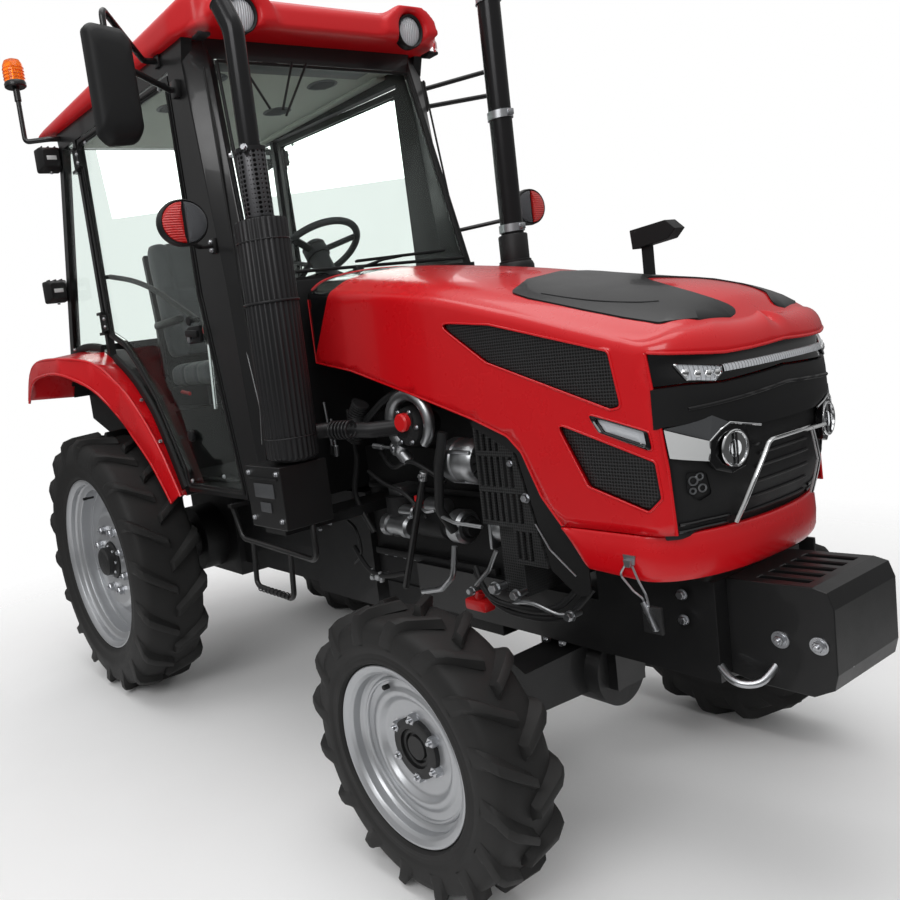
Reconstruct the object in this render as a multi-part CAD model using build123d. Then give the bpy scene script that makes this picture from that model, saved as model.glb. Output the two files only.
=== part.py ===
"""Farm tractor with a glazed cab, four-wheel drive, a tilting hood and a rear three-point linkage.

Millimetres. +X is forward, +Y is left, +Z is up. The shapes are drawn with x measured from the rear
axle and z from the ground, and are then moved so that the origin lies on the ground in the middle of
the machine's length and width.
"""
from build123d import *
from math import cos, hypot, pi, radians, sin
import os

# ---------------------------------------------------------------- driving dimensions
WHEELBASE = 2007
FRONT_OVERHANG = 728      # front axle to the front face of the weight bracket
FRONT_REACH = WHEELBASE + FRONT_OVERHANG
REAR_REACH = 700          # rear axle to the ends of the lower links
GAP = 0.3                 # between curved faces that would otherwise touch
CLEAR = 6                 # between pieces that move past each other

REAR_TYRE_R = 565
REAR_TYRE_W = 285
REAR_WHEEL_Y = 615        # middle of the rear wheel
REAR_BEAD_R = 356         # 28 inch rim seat
FRONT_TYRE_R = 365
FRONT_TYRE_W = 192
FRONT_WHEEL_Y = 645
FRONT_BEAD_R = 203        # 16 inch rim seat
KINGPIN_Y = 470
LUG_H = 24

CAB_HALF_W = 515          # to the outside of the side glass
POST_T = 40
FLOOR_HALF_W = CAB_HALF_W - POST_T - 1
GLASS_T = 6
TUB_HALF_W = 440          # between the rear wheels
FLOOR_Z = 905
SILL_Z = 872
BELT_Z = 1600             # foot of the windscreen
FIREWALL_X = 1226         # rear face of the firewall
FIREWALL_T = 12
HEADER_Z = 2340           # underside of the rail over the windscreen
REAR_HEADER_Z = 2390      # underside of the rail over the rear window
REAR_SILL = (1492, 1522)  # underside and top of the rail under the rear window

HOOD_HALF_W = 322
HOOD_WALL = 8
HOOD_HINGE = (1322, 1540)  # x, z
NOSE_X = 2600
NOSE_BACK = 2496          # where the fascia fills the hood's open nose

SHAFT_R = 17.5            # power take-off, 35 mm
SHAFT_Z = 640
TOP_LINK = (-236, 760)    # x, z of the top link's pin
LINK_PIN_R = 11           # lower links, category 1
TOP_LINK_PIN_R = 9.5


# ---------------------------------------------------------------- helpers
def block(x0, x1, y0, y1, z0, z1):
    """Box between two corners."""
    size = Box(x1 - x0, y1 - y0, z1 - z0)
    return Pos((x0 + x1) / 2, (y0 + y1) / 2, (z0 + z1) / 2) * size


def side_prism(points, y0, y1):
    """Outline of (x, z) points, extruded from y0 to y1."""
    wire = Polyline(*[(x, 0, z) for x, z in points], close=True)
    solid = extrude(make_face(wire), amount=y1 - y0, dir=(0, 1, 0))
    return Pos(0, y0, 0) * solid


def plan_prism(points, z0, z1):
    """Outline of (x, y) points, extruded from z0 to z1."""
    wire = Polyline(*[(x, y, 0) for x, y in points], close=True)
    return Pos(0, 0, z0) * extrude(make_face(wire), amount=z1 - z0, dir=(0, 0, 1))


def front_prism(points, x0, x1):
    """Outline of (y, z) points, extruded from x0 to x1."""
    wire = Polyline(*[(0, y, z) for y, z in points], close=True)
    return Pos(x0, 0, 0) * extrude(make_face(wire), amount=x1 - x0, dir=(1, 0, 0))


def rod(start, end, radius):
    """Round bar between two points."""
    a, b = Vector(*start), Vector(*end)
    plane = Plane(origin=a, z_dir=(b - a).normalized())
    return extrude(plane * Circle(radius), amount=(b - a).length)


def tube(points, radius, bend):
    """Round tube along straight runs joined by arcs."""
    path = FilletPolyline(*points, radius=bend)
    start = Plane(origin=path @ 0, z_dir=path % 0)
    return sweep(start * Circle(radius), path=path)


def ribbon(sections):
    """Solid through closed polygons of (x, y, z) points, with straight rulings."""
    return Solid.make_loft([Polyline(*points, close=True) for points in sections], ruled=True)


def turned(profile, y0=0.0):
    """Closed profile of (radius, y) points, turned about the Y axis."""
    wire = Polyline(*[(r, y + y0, 0) for r, y in profile], close=True)
    return revolve(make_face(wire), axis=Axis.Y, revolution_arc=360)


def mirrored(shape):
    """The same piece on the other side of the tractor."""
    return mirror(shape, about=Plane.XZ)


def both(shape):
    """A piece and its mirror image, as separate solids."""
    return Compound(list(shape.solids()) + list(mirrored(shape).solids()))


def group(*shapes):
    """Solids that share a node and don't touch."""
    return Compound([solid for shape in shapes for solid in shape.solids()])


# ---------------------------------------------------------------- wheels
# name, tyre radius, tyre width, bead radius, flange height, rim half-width, wheel centre (x, y), lugs
WHEELS = {
    "rear": dict(x=0, y=REAR_WHEEL_Y, tyre_r=REAR_TYRE_R, width=REAR_TYRE_W, bead_r=REAR_BEAD_R,
                 flange=19, rim_half=118, drop=30, lugs=18),
    "front": dict(x=WHEELBASE, y=FRONT_WHEEL_Y, tyre_r=FRONT_TYRE_R, width=FRONT_TYRE_W,
                  bead_r=FRONT_BEAD_R, flange=22, rim_half=84, drop=22, lugs=16),
}
REAR_HUB = dict(bore=40, radius=78, inner=-100, outer=52)      # along y from the wheel's middle
FRONT_HUB = dict(bore=30, radius=62, inner=-70, outer=30)
RIM_T = 6


def tyre(w):
    """Ring with bulging sides and chevron lugs, its middle at y = 0."""
    half, bead, seat = w["width"] / 2, w["bead_r"], w["rim_half"] - 12
    crown = w["tyre_r"] - LUG_H
    over = bead + w["flange"] + 4
    wall = crown - bead
    right = [(bead + GAP, seat), (over, seat + 3), (over + 6, seat + 16), (bead + 0.45 * wall, half),
             (bead + 0.72 * wall, 0.97 * half), (crown - 14, 0.84 * half), (crown, 0.52 * half)]
    left = [(r, -y) for r, y in reversed(right)]
    carcass = turned(right + left)
    tips = [(bead + 0.74 * wall, half + 1), (w["tyre_r"] - 20, 0.98 * half), (w["tyre_r"], 0.84 * half)]
    inner = [(bead + 0.6 * wall, -half), (bead + 0.6 * wall, half)]
    envelope = turned([tips[0], tips[1], tips[2]] + [(r, -y) for r, y in reversed(tips)] + inner)
    lugs = []
    pitch = 360 / w["lugs"]
    bar, lean = 0.17 * half + 16, 0.85 * half
    for side in (1, -1):
        foot = [(-bar / 2 - lean / 2, -8), (bar / 2 - lean / 2, -8),
                (bar / 2 + lean / 2, half + 4), (-bar / 2 + lean / 2, half + 4)]
        points = [(t, side * y) for t, y in foot]
        shape = plan_prism(points, bead + 0.62 * wall, w["tyre_r"] + 10) & envelope
        for i in range(w["lugs"]):
            angle = pitch * (i + (0.5 if side > 0 else 0))
            lugs.append(Rot(0, angle, 0) * shape)
    return carcass.fuse(*lugs)


def rim(w, hub, disc, holes):
    """Rim barrel, dished disc and hub as one welded piece, its middle at y = 0 and +y outward."""
    half, seat = w["rim_half"], w["bead_r"]
    top, floor = seat + w["flange"], seat - w["drop"]
    outer = [(top, half), (top, half - 5), (seat, half - 10), (seat, half - 34), (floor, half - 52)]
    inner = [(r - RIM_T, y) for r, y in outer]
    inner[0] = (top - RIM_T, half)
    inner[1] = (seat - RIM_T, half - 6)
    ring = outer + [(r, -y) for r, y in reversed(outer)]
    ring += [(r, -y) for r, y in (inner[0], inner[1], inner[3], inner[4])]
    ring += [(r, y) for r, y in (inner[4], inner[3], inner[1], inner[0])]
    piece = turned(ring)
    face = [(floor - 2, disc[0][1])] + disc[1:]
    back = [(r, y - 9) for r, y in reversed(face)]
    piece += turned(face + back)
    sleeve = [(hub["bore"] + GAP, hub["inner"]), (hub["radius"], hub["inner"]),
              (hub["radius"], hub["outer"]), (hub["bore"] + GAP, hub["outer"])]
    piece += turned(sleeve)
    count, ring_r, hole_r = holes
    count = round(count)
    for i in range(count):
        a = 2 * pi * (i + 0.5) / count
        x, z = ring_r * cos(a), ring_r * sin(a)
        piece -= rod((x, -200, z), (x, 200, z), hole_r)
    return piece


REAR_DISC = [(0, 8), (250, 8), (205, 40), (76, 40)]
FRONT_DISC = [(0, 34), (150, 34), (118, 20), (60, 20)]
REAR_BOLTS = (8, 140, 9)      # number of wheel bolt holes, the circle's radius and a hole's radius
FRONT_BOLTS = (6, 75, 7)


def wheel_place(kind, side):
    w = WHEELS[kind]
    turn = Rot(0, 0, 0) if side > 0 else Rot(0, 0, 180)
    return Pos(w["x"], side * w["y"], w["tyre_r"]) * turn


# ---------------------------------------------------------------- driveline and axles
AXLE_Z = REAR_TYRE_R
GEARBOX_HALF_W = 150
PLATFORM_Z = 1180         # cab floor under the seat
BELL_TOP_Z = 850
FRONT_AXLE_Z = FRONT_TYRE_R
TRUMPET_END_Y = REAR_WHEEL_Y + REAR_HUB["inner"] - CLEAR


def gearbox():
    """Rear axle centre, gearbox and bell housing in one casting with the lift cover on top."""
    half = GEARBOX_HALF_W
    piece = block(-190, 230, -half, half, 395, 800)
    piece += block(230, 900, -120, 120, 450, 730)
    piece += block(880, ENGINE_X[0], -165, 165, 440, BELL_TOP_Z)
    piece += block(-230, 120, -110, 110, 800, 862)
    piece += rod((-190, 0, SHAFT_Z), (-215, 0, SHAFT_Z), 60)
    x, z = ROCKSHAFT
    piece -= rod((x, -200, z), (x, 200, z), ROCKSHAFT_R + GAP)
    x, z = LINK_PIVOT
    for side in (1, -1):
        piece += rod((x, side * half, z), (x, side * (LINK_Y[0] + LINK_T), z), LINK_PIVOT_R)
    x, z = TOP_LINK
    for y in (-34, 22):
        piece += block(x - 26, -190, y, y + 12, z - 30, z + 30)
    piece -= rod((x, -60, z), (x, 60, z), TOP_LINK_PIN_R)
    return piece


def pto_shaft():
    return rod((-215, 0, SHAFT_Z), (-330, 0, SHAFT_Z), SHAFT_R)


def rear_axle():
    """Axle trumpets with brake drums and cab mounts, and the shafts that the hubs turn on."""
    drum_end = 260
    trumpet = rod((0, GEARBOX_HALF_W, AXLE_Z), (0, TRUMPET_END_Y, AXLE_Z), 88)
    trumpet += rod((0, GEARBOX_HALF_W, AXLE_Z), (0, drum_end, AXLE_Z), 150)
    trumpet += rod((0, TRUMPET_END_Y, AXLE_Z), (0, REAR_WHEEL_Y + REAR_HUB["outer"], AXLE_Z),
                   REAR_HUB["bore"])
    trumpet += block(-45, 45, 300, 390, AXLE_Z + 60, PLATFORM_Z - 12)
    return both(trumpet)


KING_R = 26
KING_TUBE = dict(z0=FRONT_AXLE_Z + 60, z1=FRONT_AXLE_Z + 180, radius=52)
DIFF_R = 105
DIFF_HALF = 100
KNUCKLE_TOP = KING_TUBE["z0"] - CLEAR


def front_axle():
    """Beam with its differential, hung under the frame, and the tubes that hold the kingpins."""
    x, y, z = WHEELBASE, KINGPIN_Y, FRONT_AXLE_Z
    low, high = z - 45, z + 85
    top = KING_TUBE["z1"] - 15
    arm = front_prism([(-6, low), (330, low + 15), (y - 88, low + 20), (y - 88, high - 10), (y - 20, high + 20),
                       (y - 20, top), (y - 70, top), (330, high + 5), (-6, high + 10)], x - 55, x + 55)
    arm += rod((x, y, KING_TUBE["z0"]), (x, y, KING_TUBE["z1"]), KING_TUBE["radius"])
    arm -= rod((x, y, z), (x, y, top + 60), KING_R + GAP)
    beam = arm + mirrored(arm)
    beam += rod((x - DIFF_HALF, 0, z + 10), (x + DIFF_HALF, 0, z + 10), DIFF_R)
    return beam


def knuckle():
    """Left steering knuckle: portal case, kingpin, spindle and steering arm."""
    x, y, z = WHEELBASE, KINGPIN_Y, FRONT_AXLE_Z
    case = rod((x, y, z - 85), (x, y, KNUCKLE_TOP), 72)
    case += rod((x, y, z), (x, FRONT_WHEEL_Y + FRONT_HUB["inner"] - CLEAR, z), 52)
    case += rod((x, y, z), (x, FRONT_WHEEL_Y + FRONT_HUB["outer"], z), FRONT_HUB["bore"])
    case += rod((x, y, KNUCKLE_TOP - 10), (x, y, KING_TUBE["z1"] + 30), KING_R)
    case += block(x - ARM_BACK - 18, x - 40, y - 20, y + 20, z - 85, z - 61)
    case -= rod((x - ARM_BACK, y, z - 100), (x - ARM_BACK, y, z - 40), TIE_PIN_R + GAP)
    return case


ARM_BACK = 165
TIE_PIN_R = 9


def tie_rod():
    """Rod between the steering arms, with a pin up through each arm."""
    x, z = WHEELBASE - ARM_BACK, FRONT_AXLE_Z - 105
    piece = rod((x, -KINGPIN_Y, z), (x, KINGPIN_Y, z), 13)
    for y in (-KINGPIN_Y, KINGPIN_Y):
        piece += rod((x, y, z - 16), (x, y, z + 14), 22)
        piece += rod((x, y, z), (x, y, z + 50), TIE_PIN_R)
    return piece


RAIL_Z = (500, 640)
RAIL_OUT_Y = 182
SUMP_HALF_W = 148
BRACKET_X = FRONT_REACH - 225    # where the weight bracket bolts on


def front_frame():
    """Side rails from the sump to the front, the axle's pivot block with its ears, and the nose carrier."""
    low, top = RAIL_Z
    rail = block(ENGINE_X[0] + 250, BRACKET_X - 40, SUMP_HALF_W, RAIL_OUT_Y, low, top)
    piece = rail + mirrored(rail)
    piece += block(WHEELBASE - 127, WHEELBASE + 127, -SUMP_HALF_W, SUMP_HALF_W, low + 12, top - 30)
    for x in (WHEELBASE - DIFF_HALF - 28, WHEELBASE + DIFF_HALF):
        piece += block(x, x + 28, -60, 60, FRONT_AXLE_Z - 30, low + 20)
    piece += block(WHEELBASE + 190, BRACKET_X, -RAIL_OUT_Y, RAIL_OUT_Y, low, top + 95)
    return piece


def weight_bracket():
    """Cast carrier for front weights: a thick plate with a flat face, and a slotted top."""
    x0, x1 = BRACKET_X, FRONT_REACH
    piece = side_prism([(x0, 510), (x0 + 60, 500), (x1 - 50, 500), (x1 - 8, 525), (x1, 560), (x1, 700),
                        (x1 - 12, 735), (x1 - 40, 742), (x0, 735)], -137, 137)
    for y in (-96, -48, 0, 48, 96):
        piece -= block(x0 + 55, x1 - 62, y - 12, y + 12, 560, 760)
    return piece


# ---------------------------------------------------------------- engine
ENGINE_X = (1250, WHEELBASE - 157)
ENGINE_HALF_W = 140
HEAD_HALF_W = 120
TURBO = dict(x=1560, z=1072)


def engine():
    """Block, head, rocker cover and sump."""
    (x0, x1), side = ENGINE_X, ENGINE_HALF_W
    piece = block(x0, x1, -side, side, 540, 1010)
    piece += block(x0 + 40, x1 - 20, -HEAD_HALF_W, HEAD_HALF_W, 1010, 1130)
    piece += block(x0 + 70, x1 - 50, -85, 85, 1130, 1215)
    piece += block(x0 + 40, x1 - 30, -SUMP_HALF_W, SUMP_HALF_W, 450, 540)
    return piece


def engine_fittings():
    """What hangs on the engine: turbocharger, alternator, starter, filter, pump and fan."""
    side = -ENGINE_HALF_W
    x, z = TURBO["x"], TURBO["z"]
    turbo = rod((x, -HEAD_HALF_W, z), (x, side - 120, z), 56)
    turbo += rod((x, side - 120, z), (x, side - 165, z), 42)
    front = ENGINE_X[1]
    alternator = rod((front - 75, side - 92, 1000), (front + 55, side - 92, 1000), 66)
    alternator += block(front - 60, front - 10, side - 92, side, 985, 1008)
    starter = rod((front - 210, side - 65, 795), (front - 20, side - 65, 795), 52)
    starter += block(front - 200, front - 150, side - 65, side, 770, 820)
    oil_filter = rod((1490, side - 55, 740), (1490, side - 55, 880), 50)
    oil_filter += block(1460, 1520, side - 55, side, 870, 900)
    pump = rod((1420, 60 - side, 800), (1640, 60 - side, 800), 55)
    pump += block(1440, 1600, -side, 60 - side, 770, 830)
    fan = rod((front, 0, 900), (front + 40, 0, 900), 75)
    fan += rod((front + 40, 0, 900), (front + 58, 0, 900), 215)
    return group(turbo, alternator, starter, oil_filter, pump, fan)


RADIATOR_X = (WHEELBASE - 47, WHEELBASE + 28)
GUARD_X = (WHEELBASE - 67, WHEELBASE + 38, WHEELBASE + 65, WHEELBASE + 143)   # rear, step, top front, low front
GUARD_Z = (745, 840, 1045, 1116)          # foot, step, top at the front, top at the rear
GUARD_Y = (288, 300)
GUARD_ROWS = [(757, 832), (852, 930), (946, 1026), (1040, 1104)]   # slots, low and high
GUARD_SLOT = dict(pitch=21, width=11)


def guard():
    """Left radiator guard, pressed from sheet, with rows of upright slots."""
    rear, step, top_front, low_front = GUARD_X
    foot, step_z, front_z, rear_z = GUARD_Z
    y0, y1 = GUARD_Y
    plate = side_prism([(rear, rear_z), (top_front, front_z), (low_front, foot), (step, foot), (step, step_z),
                        (rear, step_z)], y0, y1)
    slope = (rear_z - front_z) / (top_front - rear)
    lean = (low_front - top_front) / (front_z - foot)
    for low, high in GUARD_ROWS:
        x = (rear if low > step_z else step) + 10
        while x + GUARD_SLOT["width"] < top_front + (front_z - high) * lean - 8:
            x1 = x + GUARD_SLOT["width"]
            top = min(high, rear_z - slope * (x1 - rear) - 8)
            if top - low > 20:
                plate -= block(x, x1, y0 - 10, y1 + 10, low, top)
            x += GUARD_SLOT["pitch"]
    return plate


def radiator():
    """Core in its frame, with a slotted guard held off each side."""
    half = 262
    core = block(*RADIATOR_X, -half, half, RAIL_Z[1], 1210)
    side = guard()
    x0, x1 = RADIATOR_X
    for low in (GUARD_Z[1] + 1, GUARD_ROWS[2][1] + 2):
        side += block(x1 - 22, x1, half, GUARD_Y[0], low, low + 10)
    return core + side + mirrored(side)


# ---------------------------------------------------------------- exhaust and intake
EXHAUST = dict(x=1435, y=-557)
INTAKE = dict(x=1500, y=420)
BOX_LOW_Z = 850
BOX_TOP_Z = 1040


def exhaust():
    """Silencer in its ribbed shield, perforated collar and a slim stack with a swept end."""
    x, y = EXHAUST["x"], EXHAUST["y"]
    piece = rod((x, y, BOX_TOP_Z), (x, y, 1750), 78)
    piece += rod((x, y, 1750), (x, y, 1905), 46)
    piece += tube([(x, y, 1900), (x, y, 2300), (x - 80, y - 25, 2420)], 33, 120)
    turbo_end = -ENGINE_HALF_W - 165 - GAP
    elbow_z = TURBO["z"] + 12
    piece += tube([(x, y, elbow_z), (TURBO["x"], y, elbow_z), (TURBO["x"], turbo_end, elbow_z)], 28, 75)
    front = FIREWALL_X + FIREWALL_T
    piece += block(front, front + 24, -488, -440, 1490, 1540)
    piece += rod((front + 12, -466, 1515), (x, y + 40, 1515), 10)
    return piece


def intake():
    """Air pipe on the left of the hood: an elbow from the cylinder head, a sleeve, and the tall pipe."""
    x, y = INTAKE["x"], INTAKE["y"]
    piece = rod((x, y, 1190), (x, y, 1560), 62)
    piece += rod((x, y, 1560), (x, y, 1690), 54)
    piece += rod((x, y, 1690), (x, y, 2470), 42)
    piece += rod((x, y, 2470), (x, y, 2500), 56)
    piece += tube([(x, HEAD_HALF_W, 1072), (x, y, 1072), (x, y, 1200)], 44, 80)
    return piece


BOX_X = (1290, 1490)
BOX_Y = (470, 640)


def side_box():
    """Battery box under the exhaust and the tool box opposite, each on its bracket from the engine."""
    (x0, x1), y = BOX_X, BOX_Y
    piece = block(x0, x1, y[0], y[1], BOX_LOW_Z, BOX_TOP_Z)
    piece += block(x0, x0 + 120, ENGINE_HALF_W, y[1] - 40, BOX_LOW_Z - 32, BOX_LOW_Z)
    return both(piece)


STEP_Y = 545


def steps():
    """Bent rod below each door, from the sill forward to the box, and a rung hung in it."""
    y, low = STEP_Y, 735
    piece = tube([(983, -y, SILL_Z - 2), (1034, -y, low + 20), (1480, -y, low), (1480, -y, BOX_LOW_Z)], 9, 30)
    piece += block(975, 1000, -y - 12, -FLOOR_HALF_W + 60, SILL_Z - 12, SILL_Z)
    piece += tube([(1100, -y, low + 14), (1100, -y - 10, 600), (1330, -y - 10, 590), (1330, -y, low + 5)], 9, 25)
    return both(piece)


# ---------------------------------------------------------------- cab
# wheel arch and fender, rear to front: angle above the axle's +x direction, then radii from the axle of the
# inner line, of the crown and of the side flange's lower edge, with the y of the crown and of that edge
ARCH = [
    # angle, inner r, crown r, crown y, lip r, lip y
    (128, 925, 944, 742, 922, 745),
    (119, 992, 984, 745, 932, 748),
    (110, 991, 971, 745, 896, 748),
    (93, 911, 910, 736, 838, 741),
    (80, 835, 882, 665, 767, 672),
    (70, 790, 803, 606, 670, 612),
    (58, 738, 753, 592, 628, 600),
    (45, 681, 703, 575, 602, 584),
    (28, 653, 672, 562, 592, 570),
]
ARCH_T = 12
FENDER_T = 9


def polar(angle, radius):
    """x and z of a point at an angle and a radius from the rear axle."""
    return radius * cos(radians(angle)), AXLE_Z + radius * sin(radians(angle))


def arch_line(inset):
    """Inner line of the arch as (x, z) points, moved towards the axle."""
    return [polar(row[0], row[1] - inset) for row in ARCH]


def fender():
    """Left fender: crowned top, side flange and a short turned-in edge."""
    sections = []
    y_in = FENDER_SEAT_Y
    for angle, inner, crown, crown_y, lip, lip_y in ARCH:
        corners = [(y_in, inner), (crown_y, crown), (lip_y, lip), (lip_y - FENDER_T, lip),
                   (crown_y - FENDER_T, crown - FENDER_T), (y_in, inner - FENDER_T)]
        section = []
        for y, radius in corners:
            x, z = polar(angle, radius)
            section.append((x, y, z))
        sections.append(section)
    return ribbon(sections)


FENDER_SEAT_Y = CAB_HALF_W + 4
HOOD_EAR_Y = (196, 204)
HOOD_PIN_R = 8
SCREEN_FOOT_Y = 455


def cab_tub():
    """Floor, inner wheel arches, seat platform, the panels behind and before the driver, and the hood's pivots."""
    inner = TUB_HALF_W - ARCH_T
    arch = side_prism(arch_line(0) + arch_line(ARCH_T)[::-1], inner, FENDER_SEAT_Y)
    (rear_x, rear_z), (front_x, front_z) = arch_line(ARCH_T / 2)[0], arch_line(ARCH_T / 2)[-1]
    wall = side_prism(arch_line(ARCH_T / 2) + [(300, front_z), (rear_x, front_z + 300)], inner, TUB_HALF_W)
    hinge_x, hinge_z = HOOD_HINGE
    front = FIREWALL_X + FIREWALL_T
    y0, y1 = HOOD_EAR_Y
    arm = [(front, hinge_z - 20), (hinge_x - 40, hinge_z - 22), (hinge_x - 12, hinge_z + 12),
           (hinge_x + 12, hinge_z + 12), (hinge_x + 12, hinge_z - 14), (front, hinge_z - 75)]
    bracket = side_prism(arm, y1 + 1, y1 + 11)
    bracket += rod((hinge_x, y0 - 8, hinge_z), (hinge_x, y1 + 5, hinge_z), HOOD_PIN_R)
    mount = block(1060, 1160, 60, 150, BELL_TOP_Z, SILL_Z)
    side = arch + wall + bracket + mount
    piece = side + mirrored(side)
    piece += block(front_x - 10, FIREWALL_X, -FLOOR_HALF_W, FLOOR_HALF_W, SILL_Z, FLOOR_Z)
    piece += block(250, 565, -TUB_HALF_W, TUB_HALF_W, SILL_Z + 8, FLOOR_Z)
    piece += block(250, 262, -TUB_HALF_W, TUB_HALF_W, SILL_Z + 8, PLATFORM_Z)
    piece += block(-480, 262, -TUB_HALF_W, TUB_HALF_W, PLATFORM_Z - 12, PLATFORM_Z)
    piece += block(-480, -468, -TUB_HALF_W, TUB_HALF_W, PLATFORM_Z - 12, REAR_SILL[0])
    half = CAB_HALF_W - 25
    piece += block(FIREWALL_X, front, -half, half, SILL_Z, BELT_Z)
    piece += block(FIREWALL_X - 24, front, -SCREEN_FOOT_Y, SCREEN_FOOT_Y, BELT_Z - 10, BELT_Z)
    return piece


DOOR_REAR_X = 22
DOOR_HINGE_X = DOOR_REAR_X - 8
DOOR_HINGE_Y = CAB_HALF_W + 14
DOOR_HINGE_Z = (1560, 2250)
HINGE_PIN_R = 5
POST_X = -14              # slim middle post behind the door
# plan of the front corner post at a height z: x of its rear edge, of its corner and of its front face, then
# y of that face's outer and inner edge
FRONT_POST = [
    (SILL_Z, 1062, 1160, FIREWALL_X, 487, 475),
    (BELT_Z, 946, 1120, FIREWALL_X, 484, 456),
    (2400, 932, 1030, 1062, 430, 402),
]


def front_post():
    """Left front corner post, wide at the side and turned in to the windscreen."""
    sections = []
    inner = CAB_HALF_W - POST_T
    for z, x_rear, x_corner, x_front, y_out, y_in in FRONT_POST:
        corners = [(x_rear, inner), (x_rear, CAB_HALF_W), (x_corner, CAB_HALF_W), (x_front, y_out),
                   (x_front - 14, y_in), (x_corner - 30, inner)]
        sections.append([(x, y, z) for x, y in corners])
    return ribbon(sections)


REAR_POST = [(1400, -555), (2440, -190)]     # z, x of the rear face
REAR_POST_W = 48
DOOR_HEAD_Z = 2338
ROOF_LOW = [(1000, 2404), (-215, 2452)]      # x, z of the roof's underside, level in front of the first


def rear_post_x(z):
    """x of the rear post's rear face at a height."""
    (z0, x0), (z1, x1) = REAR_POST
    return x0 + (x1 - x0) * (z - z0) / (z1 - z0)


def roof_low(x):
    """z of the roof's underside, where the rails meet it."""
    (x0, z0), (x1, z1) = ROOF_LOW
    return z0 + (z1 - z0) * max(0, x0 - x) / (x0 - x1)


def rear_post():
    sections = []
    for z, x in REAR_POST:
        corners = [(x, CAB_HALF_W - POST_T), (x, CAB_HALF_W), (x + REAR_POST_W, CAB_HALF_W),
                   (x + REAR_POST_W, CAB_HALF_W - POST_T)]
        sections.append([(px, py, z) for px, py in corners])
    return ribbon(sections)


def cab_frame():
    """Corner posts, slim middle posts and the rails round the roof."""
    inner = CAB_HALF_W - POST_T
    side = front_post() + rear_post()
    side += block(POST_X - 14, POST_X + 14, CAB_HALF_W - 30, CAB_HALF_W, 1452, 2420)
    side += side_prism([(-200, 2380), (940, DOOR_HEAD_Z), (1040, DOOR_HEAD_Z), (1060, roof_low(1060)),
                        (1000, roof_low(1000)), (-215, roof_low(-215))], inner, CAB_HALF_W)
    frame = side + mirrored(side)
    frame += block(1030, 1066, -440, 440, HEADER_Z, roof_low(1066))
    frame += side_prism([(-215, REAR_HEADER_Z), (-160, REAR_HEADER_Z), (-160, roof_low(-160)),
                         (-215, roof_low(-215))], -inner, inner)
    frame += block(-512, -474, -inner, inner, *REAR_SILL)
    below = side_prism(arch_line(0) + [(600, 500), (-700, 500), (-700, 1290)], -CAB_HALF_W - 5, CAB_HALF_W + 5)
    frame -= below
    for z in DOOR_HINGE_Z:
        for side in (1, -1):
            y = side * DOOR_HINGE_Y
            y0, y1 = sorted((side * CAB_HALF_W, side * (DOOR_HINGE_Y + 9)))
            frame += block(POST_X - 10, DOOR_HINGE_X + 9, y0, y1, z - 14, z - 2)
            frame += block(POST_X - 10, DOOR_HINGE_X + 9, y0, y1, z + 72, z + 84)
            frame += rod((DOOR_HINGE_X, y, z - 4), (DOOR_HINGE_X, y, z + 74), HINGE_PIN_R)
    return frame


ROOF_X = (-478, 1196)
ROOF_TOP_Z = 2602
ROOF_EDGE_Z = 2486        # where the crown meets the roof's upright sides
# side view of the roof: x, z, front to rear along the bottom, then rear to front along the top
ROOF_SIDE = [(ROOF_X[1], ROOF_LOW[0][1]), *ROOF_LOW, (ROOF_X[0] + 8, ROOF_EDGE_Z + 14), (ROOF_X[0], ROOF_TOP_Z - 42),
             (-380, ROOF_TOP_Z - 10), (200, ROOF_TOP_Z - 2), (800, ROOF_TOP_Z - 32), (1100, ROOF_TOP_Z - 72),
             (ROOF_X[1] - 4, ROOF_EDGE_Z - 8)]
ROOF_OVERHANG = 33
ROOF_HALF_W = CAB_HALF_W + ROOF_OVERHANG
ROOF_LAMP_SEAT = ROOF_X[1] - 31
ROOF_LAMP_Y = 353
ROOF_LAMP_Z = 2440
ROOF_LAMP_R = 58


def roof():
    """Crowned roof with rounded corners and a brow over each front lamp."""
    body = side_prism(ROOF_SIDE, -ROOF_HALF_W, ROOF_HALF_W)
    w = ROOF_HALF_W
    edge, top = ROOF_EDGE_Z, ROOF_TOP_Z
    right = [(-w, ROOF_LOW[0][1] - 24), (-w, edge), (-w + 60, top - 62), (-w + 200, top - 22)]
    crown = right + [(0, top)] + [(-y, z) for y, z in reversed(right)]
    rear, front = ROOF_X
    body &= front_prism(crown, rear - 100, front + 100)
    corner = [(rear, -w + 90), (-380, -w), (1040, -w), (front - 46, -w + 40), (front, -w + 150)]
    plan = corner + [(x, -y) for x, y in reversed(corner)]
    body &= plan_prism(plan, ROOF_LOW[0][1] - 100, top + 100)
    for y in (-ROOF_LAMP_Y, ROOF_LAMP_Y):
        low = ROOF_LAMP_Z - 20
        brow = front_prism([(y - 130, low), (y - 110, low + 60), (y - 60, low + 102), (y + 60, low + 102),
                            (y + 110, low + 60), (y + 130, low)], front - 296, front + 9)
        body += brow
        body -= rod((ROOF_LAMP_SEAT, y, ROOF_LAMP_Z), (front + 34, y, ROOF_LAMP_Z), ROOF_LAMP_R + 4)
    return body


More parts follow.
